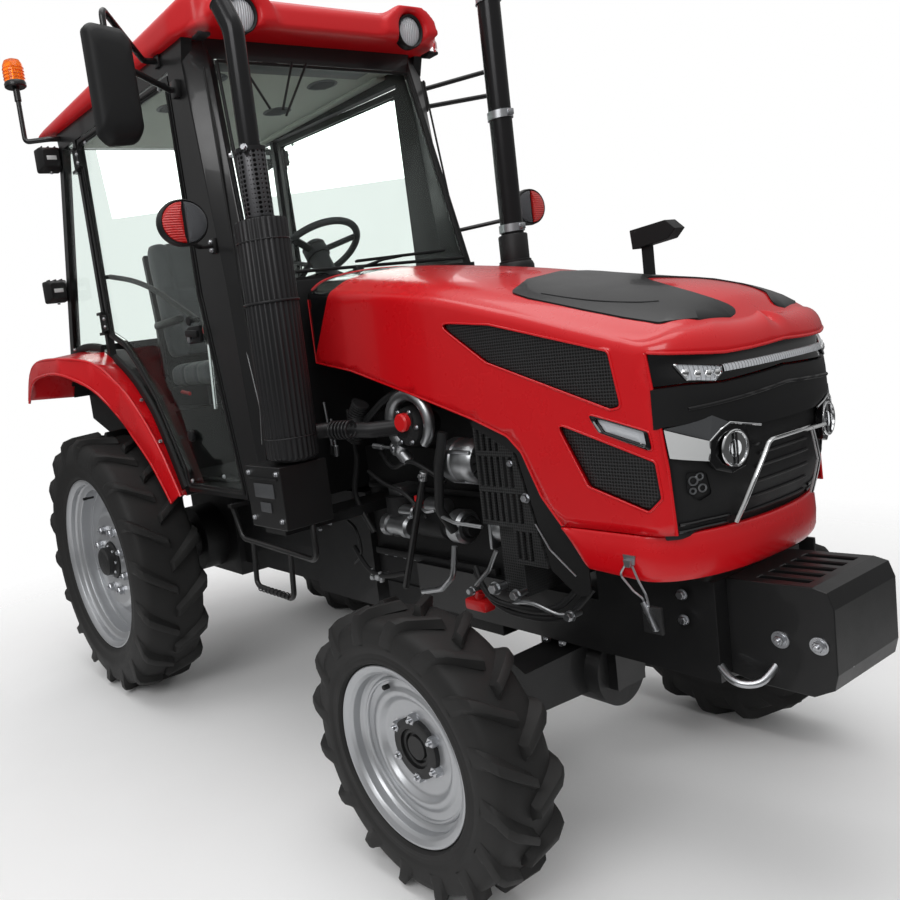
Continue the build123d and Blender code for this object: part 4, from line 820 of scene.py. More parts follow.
# ---------------------------------------------------------------- hood
# x, height of the side's edge, then heights of the crown at 0.8 and 0.45 of the half-width and on the middle line
CROWN = [
    (1292, 1540, 1576, 1595, 1602),
    (1450, 1520, 1558, 1576, 1582),
    (1816, 1458, 1494, 1513, 1520),
    (2120, 1378, 1420, 1447, 1457),
    (2300, 1322, 1372, 1408, 1421),
    (2420, 1284, 1338, 1380, 1397),
    (2513, 1250, 1305, 1342, 1358),
    (2565, 1238, 1266, 1290, 1298),
    (2620, 1222, 1228, 1232, 1235),
]
HOOD_HALF = 322.5
HOOD_REAR, HOOD_STRAIGHT, HOOD_FRONT, BELT_FRONT = 1292, 2440, 2601, 2566
NOSE_POWER = 2.6
# walk from the middle of the nose, height of the hood's front lip
LIP = [(0, 1249), (60, 1246), (123, 1244), (195, 1244), (235, 1248), (278, 1253), (330, 1259), (364, 1264)]
# height, how far the nose stands in front of its plan
NOSE_OUT = [(740, -38), (872, -36), (900, -26), (960, -8), (1050, 1), (1110, 1), (1160, -1), (1205, -6), (1235, -14),
            (1290, -14)]
UPPER_VENT = [(1865, 1391), (2060, 1366), (2398, 1275), (2419, 1151), (2390, 1146), (2035, 1272)]
LOWER_VENT = [(2234, 1120), (2487, 1034), (2494, 952), (2464, 921), (2312, 969)]
MARKER = [(2326, 1140), (2478, 1098), (2484, 1056), (2354, 1096)]
HOOD_LOW = [(1292, 1318), (1469, 1283), (1733, 1203), (1963, 1130), (2080, 1085), (2122, 1045), (2172, 935),
            (2226, 868)]
PANEL = [(2030, 0), (2045, 150), (2078, 250), (2140, 262), (2300, 266), (2400, 266), (2484, 259), (2532, 196),
         (2551, 110), (2546, 70), (2514, 103), (2462, 109), (2400, 95), (2340, 62), (2300, 25), (2292, 0)]


def plan_table(front, straight=HOOD_STRAIGHT, power=NOSE_POWER):
    """Walk from the middle of the nose round to the rear: (walk, x, y, outward x, outward y)."""
    points = []
    for i in range(161):
        y = HOOD_HALF * sin(pi / 2 * i / 160)
        x = straight + (front - straight) * max(1 - (y / HOOD_HALF) ** power, 0) ** (1 / power)
        points.append(Vector((x, y)))
    points.append(Vector((HOOD_REAR - 80, HOOD_HALF)))
    rows, walk = [], 0
    for i, p in enumerate(points):
        if i:
            walk += (p - points[i - 1]).length
        along = points[min(i + 1, len(points) - 1)] - points[max(i - 1, 0)]
        out = Vector((along.y, -along.x)).normalized()
        if i == 0:
            out = Vector((1, 0))
        rows.append((walk, p.x, p.y, out.x, out.y))
    return rows


HOOD_PLAN, BELT_PLAN = plan_table(HOOD_FRONT), plan_table(BELT_FRONT, 2415, 2.15)


def linear(rows, x):
    """The columns of a table at x, on straight lines between its rows."""
    for a, b in zip(rows, rows[1:]):
        if x <= b[0] or b is rows[-1]:
            t = min(max((x - a[0]) / (b[0] - a[0]), 0), 1)
            return [p + (q - p) * t for p, q in zip(a[1:], b[1:])]


def on_plan(walk, z, out=0.0, plan=HOOD_PLAN):
    """Point on the right-hand side of the hood, standing out from its plan."""
    x, y, ox, oy = linear(plan, abs(walk))
    side = -1 if walk >= 0 else 1
    return Vector((x + ox * out, side * (y + oy * out), z))


def walk_at(x, plan=HOOD_PLAN):
    """Walk from the middle of the nose to where the side has that x."""
    for a, b in zip(plan, plan[1:]):
        if b[1] <= x:
            return a[0] + (b[0] - a[0]) * (a[1] - x) / (a[1] - b[1])
    return plan[-1][0]


def nose_out(walk, z):
    """The nose leans in above and below, less and less towards the sides."""
    share = 1 - min(max((abs(walk) - 230) / 150, 0), 1)
    return linear(NOSE_OUT, z)[0] * share * share * (3 - 2 * share)


def on_nose(walk, z, out=0.0):
    """Point on the nose's face at a walk from its middle and a height, moved out from it."""
    return on_plan(walk, z, nose_out(walk, z) + out)


def crown_z(x, y):
    """Height of the hood's top."""
    crease, outer, inner, centre = between(CROWN, x)
    s = min(abs(y) / HOOD_HALF, 1)
    rows = [(-0.8, outer), (-0.45, inner), (0, centre), (0.45, inner), (0.8, outer), (1, crease)]
    return between(rows, s)[0]


def edge_z(walk):
    """Height of the hood's edge: the crease on the sides and the lip over the nose."""
    share = min(max((walk - 364) / 60, 0), 1)
    lip = linear(LIP, min(walk, 364))[0]
    if share == 0:
        return lip
    return lip * (1 - share) + (between(CROWN, linear(HOOD_PLAN, walk)[0])[0] - 14) * share


def on_crown(x, y, lift=0.0):
    """Point on the hood's top, lifted off it."""
    return Vector((x, y, crown_z(x, y) + lift))


def rim_of(form, line, depth, finish=0, ring=True):
    """Turned-in edge along a line of points, each with its own inward direction."""
    form.skin([[p for p, _ in line], [p + inward * depth for p, inward in line]], finish, ring=ring, ends=False)


# the hood is black behind a plane that starts at this point and leans forward by this much for each unit up
COWL_FOOT, COWL_LEAN = (1284, 0, 1321), 0.594


def black_behind(form, foot, lean):
    """Cuts the form along a plane that leans forward and gives what is behind it the second finish."""
    square = Vector((1, 0, -lean))
    mesh = form.mesh
    bmesh.ops.bisect_plane(mesh, geom=mesh.verts[:] + mesh.edges[:] + mesh.faces[:], plane_co=foot, plane_no=square)
    for face in mesh.faces:
        if (face.calc_center_median() - Vector(foot)).dot(square) < 0:
            face.material_index = 1


class TRACTOR_OT_hood(bpy.types.Operator):
    """Build the hood, its vents, belt, side lamps, latches and black top panels"""

    bl_idname = "tractor.hood"
    bl_label = "Hood"

    def execute(self, context):
        self.shell()
        self.belt()
        self.vents()
        self.top_panels()
        self.latches()
        return {"FINISHED"}

    def shell(self):
        """The hood's crown, sides and their openings."""
        form = Form()
        rear = walk_at(HOOD_REAR)
        walks = [rear * (1 - i / 60) + 420 * i / 60 for i in range(60)] + [420 - 420 * i / 56 for i in range(57)]
        spine_walk = walk_at(2300)
        loops = []
        for walk in walks:
            front = 1 - min(walk / 420, 1)
            front = front * front * (3 - 2 * front)
            edge = on_plan(walk, 0)
            x = edge.x if walk > spine_walk else 2300 + (spine_walk - walk) * (2566 - 2300) / spine_walk
            spine = Vector((x, 0, 0))
            span = (spine - edge).length
            lip = 0 if walk > 424 else min((424 - walk) / 60, 1)
            fillet = min(20 + 44 * min(front * 2.2, 1), span * 0.9)
            low = edge_z(walk)
            inner = edge.lerp(spine, fillet / max(span, 1))
            high = crown_z(inner.x, inner.y)
            loop = []
            for i in range(9):
                e = i / 8
                d = fillet * (e * e * 0.8 + e * 0.2)
                p = edge.lerp(spine, d / max(span, 1))
                z = (1 - e) ** 2 * low + 2 * e * (1 - e) * (low + (high - low) * (0.86 if lip else 0.75)) + e * e * high
                loop.append(Vector((p.x, p.y, z)))
            for i in range(1, 25):
                d = fillet + (span - fillet) * i / 24
                p = edge.lerp(spine, d / max(span, 1))
                loop.append(on_crown(p.x, p.y))
            loops.append(loop)
        form.skin(loops, 0, ring=False)
        nose_edge = [(linear([(872, 330), (1014, 336), (1100, 344), (1154, 352), (1264, 364)], z)[0], z)
                     for z in (872, 900, 960, 1014, 1060, 1100, 1154, 1210)]
        top = [(walk, edge_z(walk)) for walk in walks if walk >= 364.1] + [(364, edge_z(364))]
        low = [(walk_at(x), z) for x, z in HOOD_LOW]
        seam = [(walk_at(x), 870) for x in (2300, 2380, 2440)] + [(405, 870), (370, 870)]
        edge = top + nose_edge[::-1] + seam[::-1] + low[::-1]
        holes = [[(walk_at(p.x), p.y) for p in rounded([(x, z, 0) for x, z in hole], radius)]
                 for hole, radius in ((UPPER_VENT, 16), (LOWER_VENT, 14), (MARKER, 8))]
        edge_line = [Vector((u, v, 0)) for u, v in edge]
        form.sheet([edge_line] + holes, lambda u, v: on_plan(u, v), 24, 0)
        for hole in holes:
            line = [on_plan(u, v) for u, v in hole]
            rim_of(form, [(p, Vector((0, 1, 0))) for p in line], 15)
            form.pipe(line, 3.0, closed=True, sides=8)
        form.mirror()
        black_behind(form, COWL_FOOT, COWL_LEAN)
        shell = form.piece("Hood_shell", "hood", "body_paint", ["Red_paint", "Gloss_black"], ["hood"], weld=0.9,
                           sharp=48)
        wall = shell.modifiers.new("Wall", "SOLIDIFY")
        wall.thickness, wall.offset = 0.0045, -1
        lips = Form()
        for side in (-1, 1):
            line = [on_plan(walk, edge_z(walk) + 1, -2) for walk in range(0, 369, 12)]
            line = [Vector((p.x, p.y * -side, p.z)) for p in line]
            lips.pipe(line, 4.0, sides=8)
            low = [Vector((x, side * (HOOD_HALF - 2), z)) for x, z in HOOD_LOW]
            lips.pipe(rounded(low, 40, closed=False), 3.6, sides=8)
            rear_line = [Vector((HOOD_REAR, side * (HOOD_HALF - 2), 1318))]
            rear_line += [Vector((HOOD_REAR, side * (HOOD_HALF - 2), 1520))]
            rear_line += [on_crown(HOOD_REAR, side * y, -1) for y in range(300, -1, -20)]
            lips.pipe(rear_line, 3.6, sides=8, bend=20)
            front = [on_plan(walk, z, -2) for walk, z in [(364, 1262)] + nose_edge[::-1]]
            lips.pipe([Vector((p.x, -side * p.y, p.z)) for p in front], 3.4, sides=8)
        lips.piece("Hood_edges", "hood", "body_paint", ["Red_paint"])

    def belt(self):
        """Red band under the nose, with a pressed step along its top edge."""
        form = Form()
        rear = walk_at(2226, BELT_PLAN)
        rows = []
        for i in range(76):
            walk = rear * (1 - i / 75)
            x = linear(BELT_PLAN, walk)[0]
            low = linear([(2226, 862), (2244, 836), (2285, 772), (2428, 764), (2440, 763)], min(x, 2440))[0]
            low += 5 * (1 - min(walk / 300, 1))
            high = 866
            share = (high - low) / 100
            section = [(high + 2, -9), (high, -1), (high - 4 * share, 1.5), (high - 12 * share, 1.5),
                       (high - 17 * share, 3.5), (high - 50 * share, 5), (high - 84 * share, 3),
                       (high - 94 * share, 0),
                       (low - 1, -5), (low, -12)]
            rows.append([on_plan(walk, z, out, BELT_PLAN) for z, out in section])
        form.skin(rows, 0, ring=False)
        form.mirror()
        piece = form.piece("Hood_belt", "hood", "body_paint", ["Red_paint"], weld=0.5, sharp=50)
        wall = piece.modifiers.new("Wall", "SOLIDIFY")
        wall.thickness, wall.offset = 0.004, -1

    def vents(self):
        """Black panels set into the side openings, and the side lamps."""
        form = Form()
        for hole, radius in ((UPPER_VENT, 16), (LOWER_VENT, 14)):
            line = rounded([(x, z, 0) for x, z in hole], radius)
            centre = sum(line, Vector()) / len(line)
            inset = [(p + (centre - p).normalized() * 9) for p in line]
            frame_line = [Vector((p.x, -HOOD_HALF + 12, p.y)) for p in line]
            raised = [Vector((p.x, -HOOD_HALF + 7, p.y)) for p in inset]
            form.skin([frame_line, raised], 1, ends=False)
            form.sheet([inset], lambda u, v: Vector((u, -HOOD_HALF + 7, v)), 30, 0)
        form.mirror()
        form.piece("Hood_vent_panels", "hood", "mesh", ["Grille_mesh", "Matt_black"], ["hood_vents"], weld=0.5)
        lamp = Form()
        line = rounded([(x, z, 0) for x, z in MARKER], 8)
        centre = sum(line, Vector()) / len(line)
        steps = [(0.0, -2, 0), (0.10, -3.5, 0), (0.16, -1, 0), (0.18, 7, 0)]
        loops = [[Vector((p.x + (centre.x - p.x) * s, -HOOD_HALF + out,
                          p.y + (centre.y - p.y) * s * 1.4)) for p in line]
                 for s, out, _ in steps]
        lamp.skin(loops, 0, ends=False)
        lamp.skin([[p + Vector((0, 3, 0)) for p in loops[-1]], [p.lerp(Vector((centre.x, p.y, centre.y)), 0.3)
                                                             for p in loops[-1]]], 1)
        lamp.mirror()
        lamp.piece("Hood_side_lamps", "hood", "lamp_glass", ["Gloss_black", "Lens_ribs"], sharp=30)

    def top_panels(self):
        """Raised black panels on the crown, on both sides of the middle bulge."""
        form = Form()
        half = rounded([(x, -y, 0) for x, y in PANEL], 22, closed=False, steps=4)
        line = half + [Vector((p.x, -p.y, 0)) for p in half[-2:0:-1]]
        form.sheet([line], lambda u, v: on_crown(u, v, 4.5), 22, 0)
        form.skin([[on_crown(p.x, p.y, 4.5) for p in line], [on_crown(p.x, p.y, -2) for p in line]], 0, ends=False)
        for side in (-1, 1):
            groove = [on_crown(x, side * y, 4.8) for x, y in
                      ((2160, 236), (2250, 236), (2330, 228), (2400, 212), (2440, 190))]
            form.pipe(flowing(groove, 5), 1.8, 1, sides=6)
        form.piece("Hood_top_panels", "hood", "fascia", ["Black_paint", "Gloss_black"], weld=0.5, sharp=50)

    def latches(self):
        """Over-centre latches under the belt, each with a hook, a wire loop and a body."""
        form = Form()
        for side in (-1, 1):
            y = side * (HOOD_HALF + 4)
            form.slab([(2392, 822), (2424, 822), (2420, 800), (2396, 800)], "y", y, y + side * 3, 0)
            form.slab([(2398, 812), (2418, 812), (2414, 796), (2402, 796)], "y", y + side * 3, y + side * 12, 0)
            loop = [(2400, 800), (2384, 776), (2416, 742), (2440, 728), (2440, 712), (2452, 712), (2446, 740),
                    (2430, 770), (2418, 800)]
            form.pipe([(x, y + side * 8, z) for x, z in loop], 2.6, 0, bend=14, sides=8)
            form.block(2430, 2476, *sorted((y - side * 6, y + side * 4)), 650, 712, 1)
            form.beam((2440, y + side * 8, 722), (2466, y + side * 8, 662), 16, 10, 0)
            form.bolt((2444, y + side * 4, 700), (0, side, 0), 10, 6, 0)
            form.bolt((2462, y + side * 4, 664), (0, side, 0), 10, 6, 0)
        form.piece("Hood_latches", "hood", "bright_steel", ["Zinc", "Cast_iron"], bevel=0.8)


# ---------------------------------------------------------------- nose
VISOR_LOW = [(0, 1196), (27, 1194), (204, 1186), (287, 1192), (366, 1190)]
CHEEK_LOW = [(0, 1078), (117, 1080), (160, 1088), (204, 1099), (241, 1117), (288, 1107), (338, 1104), (352, 1100)]


class TRACTOR_OT_nose(bpy.types.Operator):
    """Build the nose: visor, lamp strips, cheeks, headlights and grille"""

    bl_idname = "tractor.nose"
    bl_label = "Nose"

    def execute(self, context):
        self.skins()
        self.lamps()
        self.headlights()
        return {"FINISHED"}

    def band(self, form, low, high, finish, out=0.0, steps=12, first=0, last=358, roll=5):
        """Strip of the nose between two heights given along the walk, its edges rolled in."""
        rows = []
        for i in range(49):
            walk = first + (last - first) * i / 48
            z0, z1 = low(walk), high(walk)
            row = [on_nose(walk, z0, out - roll)]
            row += [on_nose(walk, z0 + (z1 - z0) * (0.02 + 0.96 * k / steps), out) for k in range(steps + 1)]
            row.append(on_nose(walk, z1, out - roll))
            rows.append(row)
        form.skin(rows, finish, ring=False)

    def skins(self):
        """Visor, cheeks and grille."""
        visor = Form()
        self.band(visor, lambda w: linear(VISOR_LOW, w)[0], lambda w: edge_z(min(w, 363)) + 6, 0, out=-2)
        self.band(visor, lambda w: 1206 + 10 * w / 360, lambda w: 1212 + 12 * w / 360, 0, out=3, steps=3, last=200,
                  roll=3)
        visor.mirror()
        visor.piece("Nose_visor", "hood", "fascia", ["Gloss_black"], ["hood_nose"], weld=0.4, sharp=45)
        cheek = Form()
        self.band(cheek, lambda w: linear(CHEEK_LOW, w)[0], lambda w: linear(VISOR_LOW, w)[0] - 3, 0, out=2, roll=9)
        bar = [on_nose(walk, 1156 - walk * 0.06, 1) for walk in range(0, 300, 12)]
        cheek.pipe(bar, 4.5, 0, sides=8)
        cheek.mirror()
        cheek.piece("Nose_cheeks", "hood", "fascia", ["Satin_black"], weld=0.4, sharp=45)
        grille = Form()
        self.band(grille, lambda w: 856, lambda w: linear(CHEEK_LOW, w)[0] + 6, 0, out=-14, steps=20)
        for z in (884, 918, 952, 986, 1014):
            last = linear([(884, 150), (1014, 100)], z)[0]
            grille.pipe([on_nose(walk, z, -12) for walk in range(-1, int(last), 10)], 3.4, 0, sides=6)
        for z, first in ((874, 176), (890, 172)):
            grille.pipe([on_nose(walk, z, -11) for walk in range(first, 330, 10)], 3.5, 1, sides=6)
        line = [(300, 1004), (254, 1000), (240, 950), (270, 938), (300, 960)]
        edge = rounded([(u, v, 0) for u, v in line], 8)
        grille.skin([[on_nose(p.x, p.y, out) for p in edge] for out in (-14, -9)], 1, ends=False)
        for u, v, r in ((284, 984, 9), (268, 992, 7), (262, 966, 8), (286, 962, 6)):
            c = on_nose(u, v, -12)
            grille.hoop(c, on_plan(u, v, 10) - on_plan(u, v, 0), r, 2, 2, sides=16, around=6)
        self.band(grille, lambda w: 1034, lambda w: 1040, 1, out=-6, steps=2, first=100, last=160, roll=3)
        grille.mirror()
        grille.piece("Nose_grille", "hood", "mesh", ["Moulded_plastic", "Gloss_black", "Zinc"], weld=0.4, sharp=45)

    def lamps(self):
        """Running-light clusters with a thin strip that reaches the middle, under the lip."""
        form = Form()
        cluster = [(313, 1236), (302, 1219), (287, 1198), (224, 1188), (204, 1203), (199, 1217), (250, 1226)]
        edge = rounded([(u, v, 0) for u, v in cluster], 4)
        centre = sum(edge, Vector()) / len(edge)
        loops = []
        for share, out in ((0, 0), (0, 4), (0.08, 5.5), (0.1, 2)):
            loops.append([on_nose(p.x + (centre.x - p.x) * share, p.y + (centre.y - p.y) * share, out) for p in edge])
        form.skin(loops, 0, ends=False)
        form.sheet([[p.lerp(centre, 0.1) for p in edge]], lambda u, v: on_nose(u, v, 2), 12, 1)
        for u, v in ((288, 1214), (262, 1209), (238, 1206), (218, 1205)):
            c = on_nose(u, v, 2)
            axis = (on_plan(u, v, 10) - on_plan(u, v, 0))
            form.lathe([(9, 0), (8, 3), (5, 5), (0, 6)], c, axis, 2, sides=6)
        strip = [[on_nose(walk, z, out) for z, out in ((1204, 1), (1205, 5), (1212, 6), (1219, 5), (1220, 1))]
                 for walk in range(0, 205, 8)]
        form.skin(strip, 1, ring=False)
        form.mirror()
        form.piece("Nose_lamp_strips", "hood", "lamp_glass", ["Chrome", "Lens_ribs", "Reflector"], weld=0.3, sharp=35)

    def headlights(self):
        """Round lamps in their six-sided bezels, the white blades beside them and the bright bars."""
        form = Form()
        hex_line = [(252, 1066), (228, 1086), (204, 1098), (160, 1088), (146, 1040), (162, 1000), (200, 990),
                    (240, 1004),
                    (256, 1026)]
        edge = rounded([(u, v, 0) for u, v in hex_line], 6)
        mid = on_nose(194, 1043, 0)
        axis = (on_plan(194, 1043, 10) - on_plan(194, 1043, 0)).lerp(Vector((10, 0, 0)), 0.45).normalized()
        ring = [mid + axis * 4 + (on_nose(p.x, p.y, 0) - mid).normalized() * 41 for p in edge]
        form.skin([[on_nose(p.x, p.y, -8) for p in edge], [on_nose(p.x, p.y, 4) for p in edge],
                   [on_nose(p.x, p.y, 5).lerp(q, 0.12) for p, q in zip(edge, ring)], ring,
                   [p - axis * 16 for p in ring]], 2, ends=False)
        form.hoop(mid + axis * 5, axis, 37, 3.4, 0, sides=48)
        form.lathe([(37, 5), (35, -4), (22, -12), (18, -12)], mid, axis, 0, sides=40)
        form.lathe([(21, -12), (21, -2), (18, 6), (10, 11), (0, 12.5)], mid, axis, 3, sides=32)
        side, up = square_to(axis)
        form.beam(mid + axis * 9 + up * 34, mid + axis * 9 - up * 34, 5, 4, 2, up=tuple(axis))
        white = [(338, 1100), (252, 1067), (255, 1025), (331, 1039)]
        rows = []
        for i in range(13):
            t = i / 12
            u0, v0 = 338 + (252 - 338) * t, 1100 + (1067 - 1100) * t
            u1, v1 = 331 + (255 - 331) * t, 1039 + (1025 - 1039) * t
            out = 1 + 5 * t
            rows.append([on_nose(u0, v0, out - 8), on_nose(u0, v0, out),
                         on_nose(u0 + (u1 - u0) * 0.5, (v0 + v1) / 2, out + 2),
                         on_nose(u1, v1, out), on_nose(u1, v1, out - 12)])
        form.skin(rows, 1, ring=False)
        for facet in ([(338, 1102), (288, 1109), (252, 1068)], [(288, 1109), (241, 1119), (252, 1068)],
                      [(241, 1119), (204, 1100), (252, 1068)]):
            form.skin([[on_nose(u, v, -4) for u, v in facet],
                       [on_nose(u, v, 3 if v > 1080 else 6) for u, v in facet]], 4)
        form.pipe([on_nose(u, v, 6) for u, v in ((256, 1027), (252, 1067), (228, 1087), (204, 1099), (160, 1089),
                                                (117, 1080))], 2.2, 0, sides=8)
        low = [(166, 873), (152, 916), (139, 959), (110, 1005), (90, 1037), (78, 1042)]
        path = [on_nose(u, v, 4) for u, v in low] + [on_nose(u, 1042, 4) for u in range(64, -1, -16)]
        form.pipe(path, 4.2, 1, sides=8)
        form.pipe([p + Vector((1.5, 0, 0)) for p in path], 3.6, 0, sides=8)
        form.mirror()
        form.pipe([on_nose(-u, 1042 - u * 0.05, 4) for u in range(60, 172, 12)], 4.2, 1, sides=8)
        form.piece("Nose_headlights", "hood", "lamp_glass",
                   ["Chrome", "Bright_trim", "Gloss_black", "Lamp_glass", "Grey_plastic"], ["headlights"], sharp=32)


# ---------------------------------------------------------------- cab
ROOF_LAMP = (1165, 353, 2440)
VALANCE_Z = 2456
MIRROR_BODY = [(-868, 2388), (-842, 2402), (-750, 2390), (-724, 2362), (-722, 2090), (-745, 2056), (-838, 2048),
               (-868, 2080)]
SIGNAL = (1324, 735, 1778)
BEACON = (-235, -650, 2660)
REAR_LAMPS = ((1795, -430), (2350, -222))
DOOR_Y = 515
BACK_PANEL_X = -480  # outer face of the panel under the rear window
# angle about the rear axle, radius of the fender's crown and how far out it stands
FENDER = [(128, 944, 742), (119, 984, 745), (110, 971, 745), (93, 910, 736), (80, 882, 665), (70, 803, 606),
          (58, 753, 592), (45, 703, 575), (28, 672, 562)]


def around_axle(angle, radius):
    """x and z of a point at an angle and a radius about the rear axle."""
    return radius * cos(radians(angle)), REAR_AXLE_Z + radius * sin(radians(angle))


REAR_AXLE_Z = middle("rear_tyre_left").z


def copy_node(name, piece_name):
    """A new object with a node's shape, in the row frame."""
    made = bpy.data.objects.new(piece_name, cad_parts[name].data.copy())
    bpy.context.scene.collection.objects.link(made)
    made.matrix_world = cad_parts[name].matrix_world.copy()
    return made


def freeze(piece):
    """Applies a piece's modifiers."""
    graph = bpy.context.evaluated_depsgraph_get()
    graph.update()
    data = bpy.data.meshes.new_from_object(piece.evaluated_get(graph))
    piece.modifiers.clear()
    piece.data = data


class TRACTOR_OT_cab(bpy.types.Operator):
    """Build the roof, lamps, mirrors, signals, door trim and fender edges"""

    bl_idname = "tractor.cab"
    bl_label = "Cab"

    def execute(self, context):
        self.roof()
        self.roof_lamps()
        self.rear_lamps()
        self.back_panel()
        self.mirrors()
        self.signals()
        self.doors()
        self.fenders()
        self.fittings()
        return {"FINISHED"}

    def roof(self):
        """Moulded roof: the frame's form made round, red above and black below its front edge."""
        roof = copy_node("roof", "Roof_skin")
        remesh = roof.modifiers.new("Even", "REMESH")
        remesh.mode, remesh.voxel_size = "VOXEL", 0.011
        smooth = roof.modifiers.new("Round", "SMOOTH")
        smooth.factor, smooth.iterations = 0.5, 9
        freeze(roof)
        mesh = bmesh.new()
        mesh.from_mesh(roof.data)
        for z, lean in ((VALANCE_Z, 0.0), (2418, -0.02)):
            cut = TO_ROW @ Vector((1196, 0, z))
            bmesh.ops.bisect_plane(mesh, geom=mesh.verts[:] + mesh.edges[:] + mesh.faces[:], plane_co=cut,
                                   plane_no=(lean, 0, 1))
        front = (TO_ROW @ Vector((1080, 0, 0))).x
        bmesh.ops.bisect_plane(mesh, geom=mesh.verts[:] + mesh.edges[:] + mesh.faces[:], plane_co=(front, 0, 0),
                               plane_no=(1, 0, 0.2))
        for face in mesh.faces:
            centre = FROM_ROW @ face.calc_center_median()
            face.smooth = True
            low = face.normal.z < -0.75 and centre.z < 2530
            brow = any(hypot(centre.y - side * ROOF_LAMP[1], centre.z - ROOF_LAMP[2]) < 74 and centre.x > 1150
                       and face.normal.x > 0.3 for side in (-1, 1))
            front_low = centre.x > 1080 and centre.z < VALANCE_Z
            face.material_index = 1 if low or front_low or brow else 0
        mesh.to_mesh(roof.data)
        mesh.free()
        roof.data.materials.clear()
        for finish in ("Roof_paint", "Matt_black"):
            roof.data.materials.append(bpy.data.materials[finish])
        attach(roof, "chassis")
        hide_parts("roof")
        lining = Form()
        lining.block(-170, 1010, -470, 470, 2386, 2398, 0, bevel=5)
        for x, y in ((760, -250), (760, 250), (420, -250), (420, 250)):
            lining.lathe([(0, -3), (58, -3), (62, 0), (50, 2), (46, -1), (0, -1)], (x, y, 2384), (0, 0, -1), 1,
                         sides=32)
            for k in range(-3, 4):
                lining.block(x + k * 12 - 2, x + k * 12 + 2, y - 40, y + 40, 2380, 2384, 1, bevel=0.5)
        lining.block(880, 1000, -330, 330, 2366, 2388, 2, bevel=8)
        lining.block(-60, 880, -478, -430, 2374, 2390, 0, bevel=8)
        lining.block(-60, 880, 430, 478, 2374, 2390, 0, bevel=8)
        lining.piece("Roof_lining", "chassis", "cab_trim", ["Roof_lining", "Cab_trim", "Dash_plastic"])

    def roof_lamps(self):
        """Two round lamps in the roof's front edge and the clear corner markers."""
        form = Form()
        x, y, z = ROOF_LAMP
        for side in (-1, 1):
            centre = Vector((x, side * y, z))
            axis = Vector((1, 0, -0.08)).normalized()
            form.lathe([(50, -10), (58, -6), (58, 22), (54, 25), (50, 22), (48, 8)], centre, axis, 0, sides=40)
            form.lathe([(49, 9), (40, -2), (24, -14), (0, -16)], centre, axis, 1, sides=40)
            form.lathe([(0, 22), (20, 21), (40, 18), (49.5, 13), (49.5, 9), (0, 9)], centre, axis, 2, sides=40)
            form.bar(centre - axis * 14, centre + axis * 6, 8, 1, sides=16)
        form.piece("Roof_lamps", "chassis", "lamp_glass", ["Moulded_plastic", "Reflector", "Lens_ribs"],
                   ["work_lamps"])
        corner = Form()
        for side in (-1, 1):
            corner.skin([[Vector((1136 + dx, side * (498 + dy), z)) for dx,
                          dy in ((-26, 22), (14, 12), (40, -22), (0, -12))]
                         for z in (2384, 2400, 2424)], 0)
            corner.block(1110, 1160, *sorted((side * 460, side * 505)), 2376, 2388, 1, bevel=3)
        corner.piece("Roof_corner_markers", "chassis", "lamp_glass", ["Lamp_glass", "Moulded_plastic"], bevel=4)

    def rear_lamps(self):
        """Square work lamps on the rear posts, each in its black shell with a deep silver reflector."""
        form = Form()
        for z, x in REAR_LAMPS:
            for side in (-1, 1):
                y = side * (DOOR_Y + 45)
                shell = [(x - 42, 48), (x - 38, 52), (x + 10, 50), (x + 34, 36)]
                form.skin([[Vector((px, y + dy, z + dz)) for dy, dz in rounded_square(r, 12)] for px, r in shell], 0)
                rim = [[Vector((px, y + dy, z + dz)) for dy, dz in rounded_square(r, 10)]
                       for px, r in ((x - 42, 46), (x - 43.5, 45), (x - 41, 43), (x - 36, 36), (x - 30, 22))]
                form.skin(rim, 1, ends=False)
                form.skin([[Vector((px, y + dy, z + dz)) for dy, dz in rounded_square(42, 10)] for px in (x - 41,
                                                            x - 38)], 2)
                form.beam((x + 2, side * (DOOR_Y - 8), z - 30), (x + 2, y, z - 46), 22, 6, 0)
                form.bolt((x + 2, y, z - 54), (0, 0, -1), 12, 7, 1)
                form.block(x + 33, x + 36, y - 22, y + 22, z - 9, z + 9, 3, bevel=1)
                for k in range(3):
                    form.beam((x - 30, y - 30 + k * 30, z + 53), (x + 14, y - 30 + k * 30, z + 51), 5, 8, 0)
        form.piece("Rear_work_lamps", "chassis", "plastic",
                   ["Moulded_plastic", "Reflector", "Lens_ribs", "Bright_trim"], sharp=35)

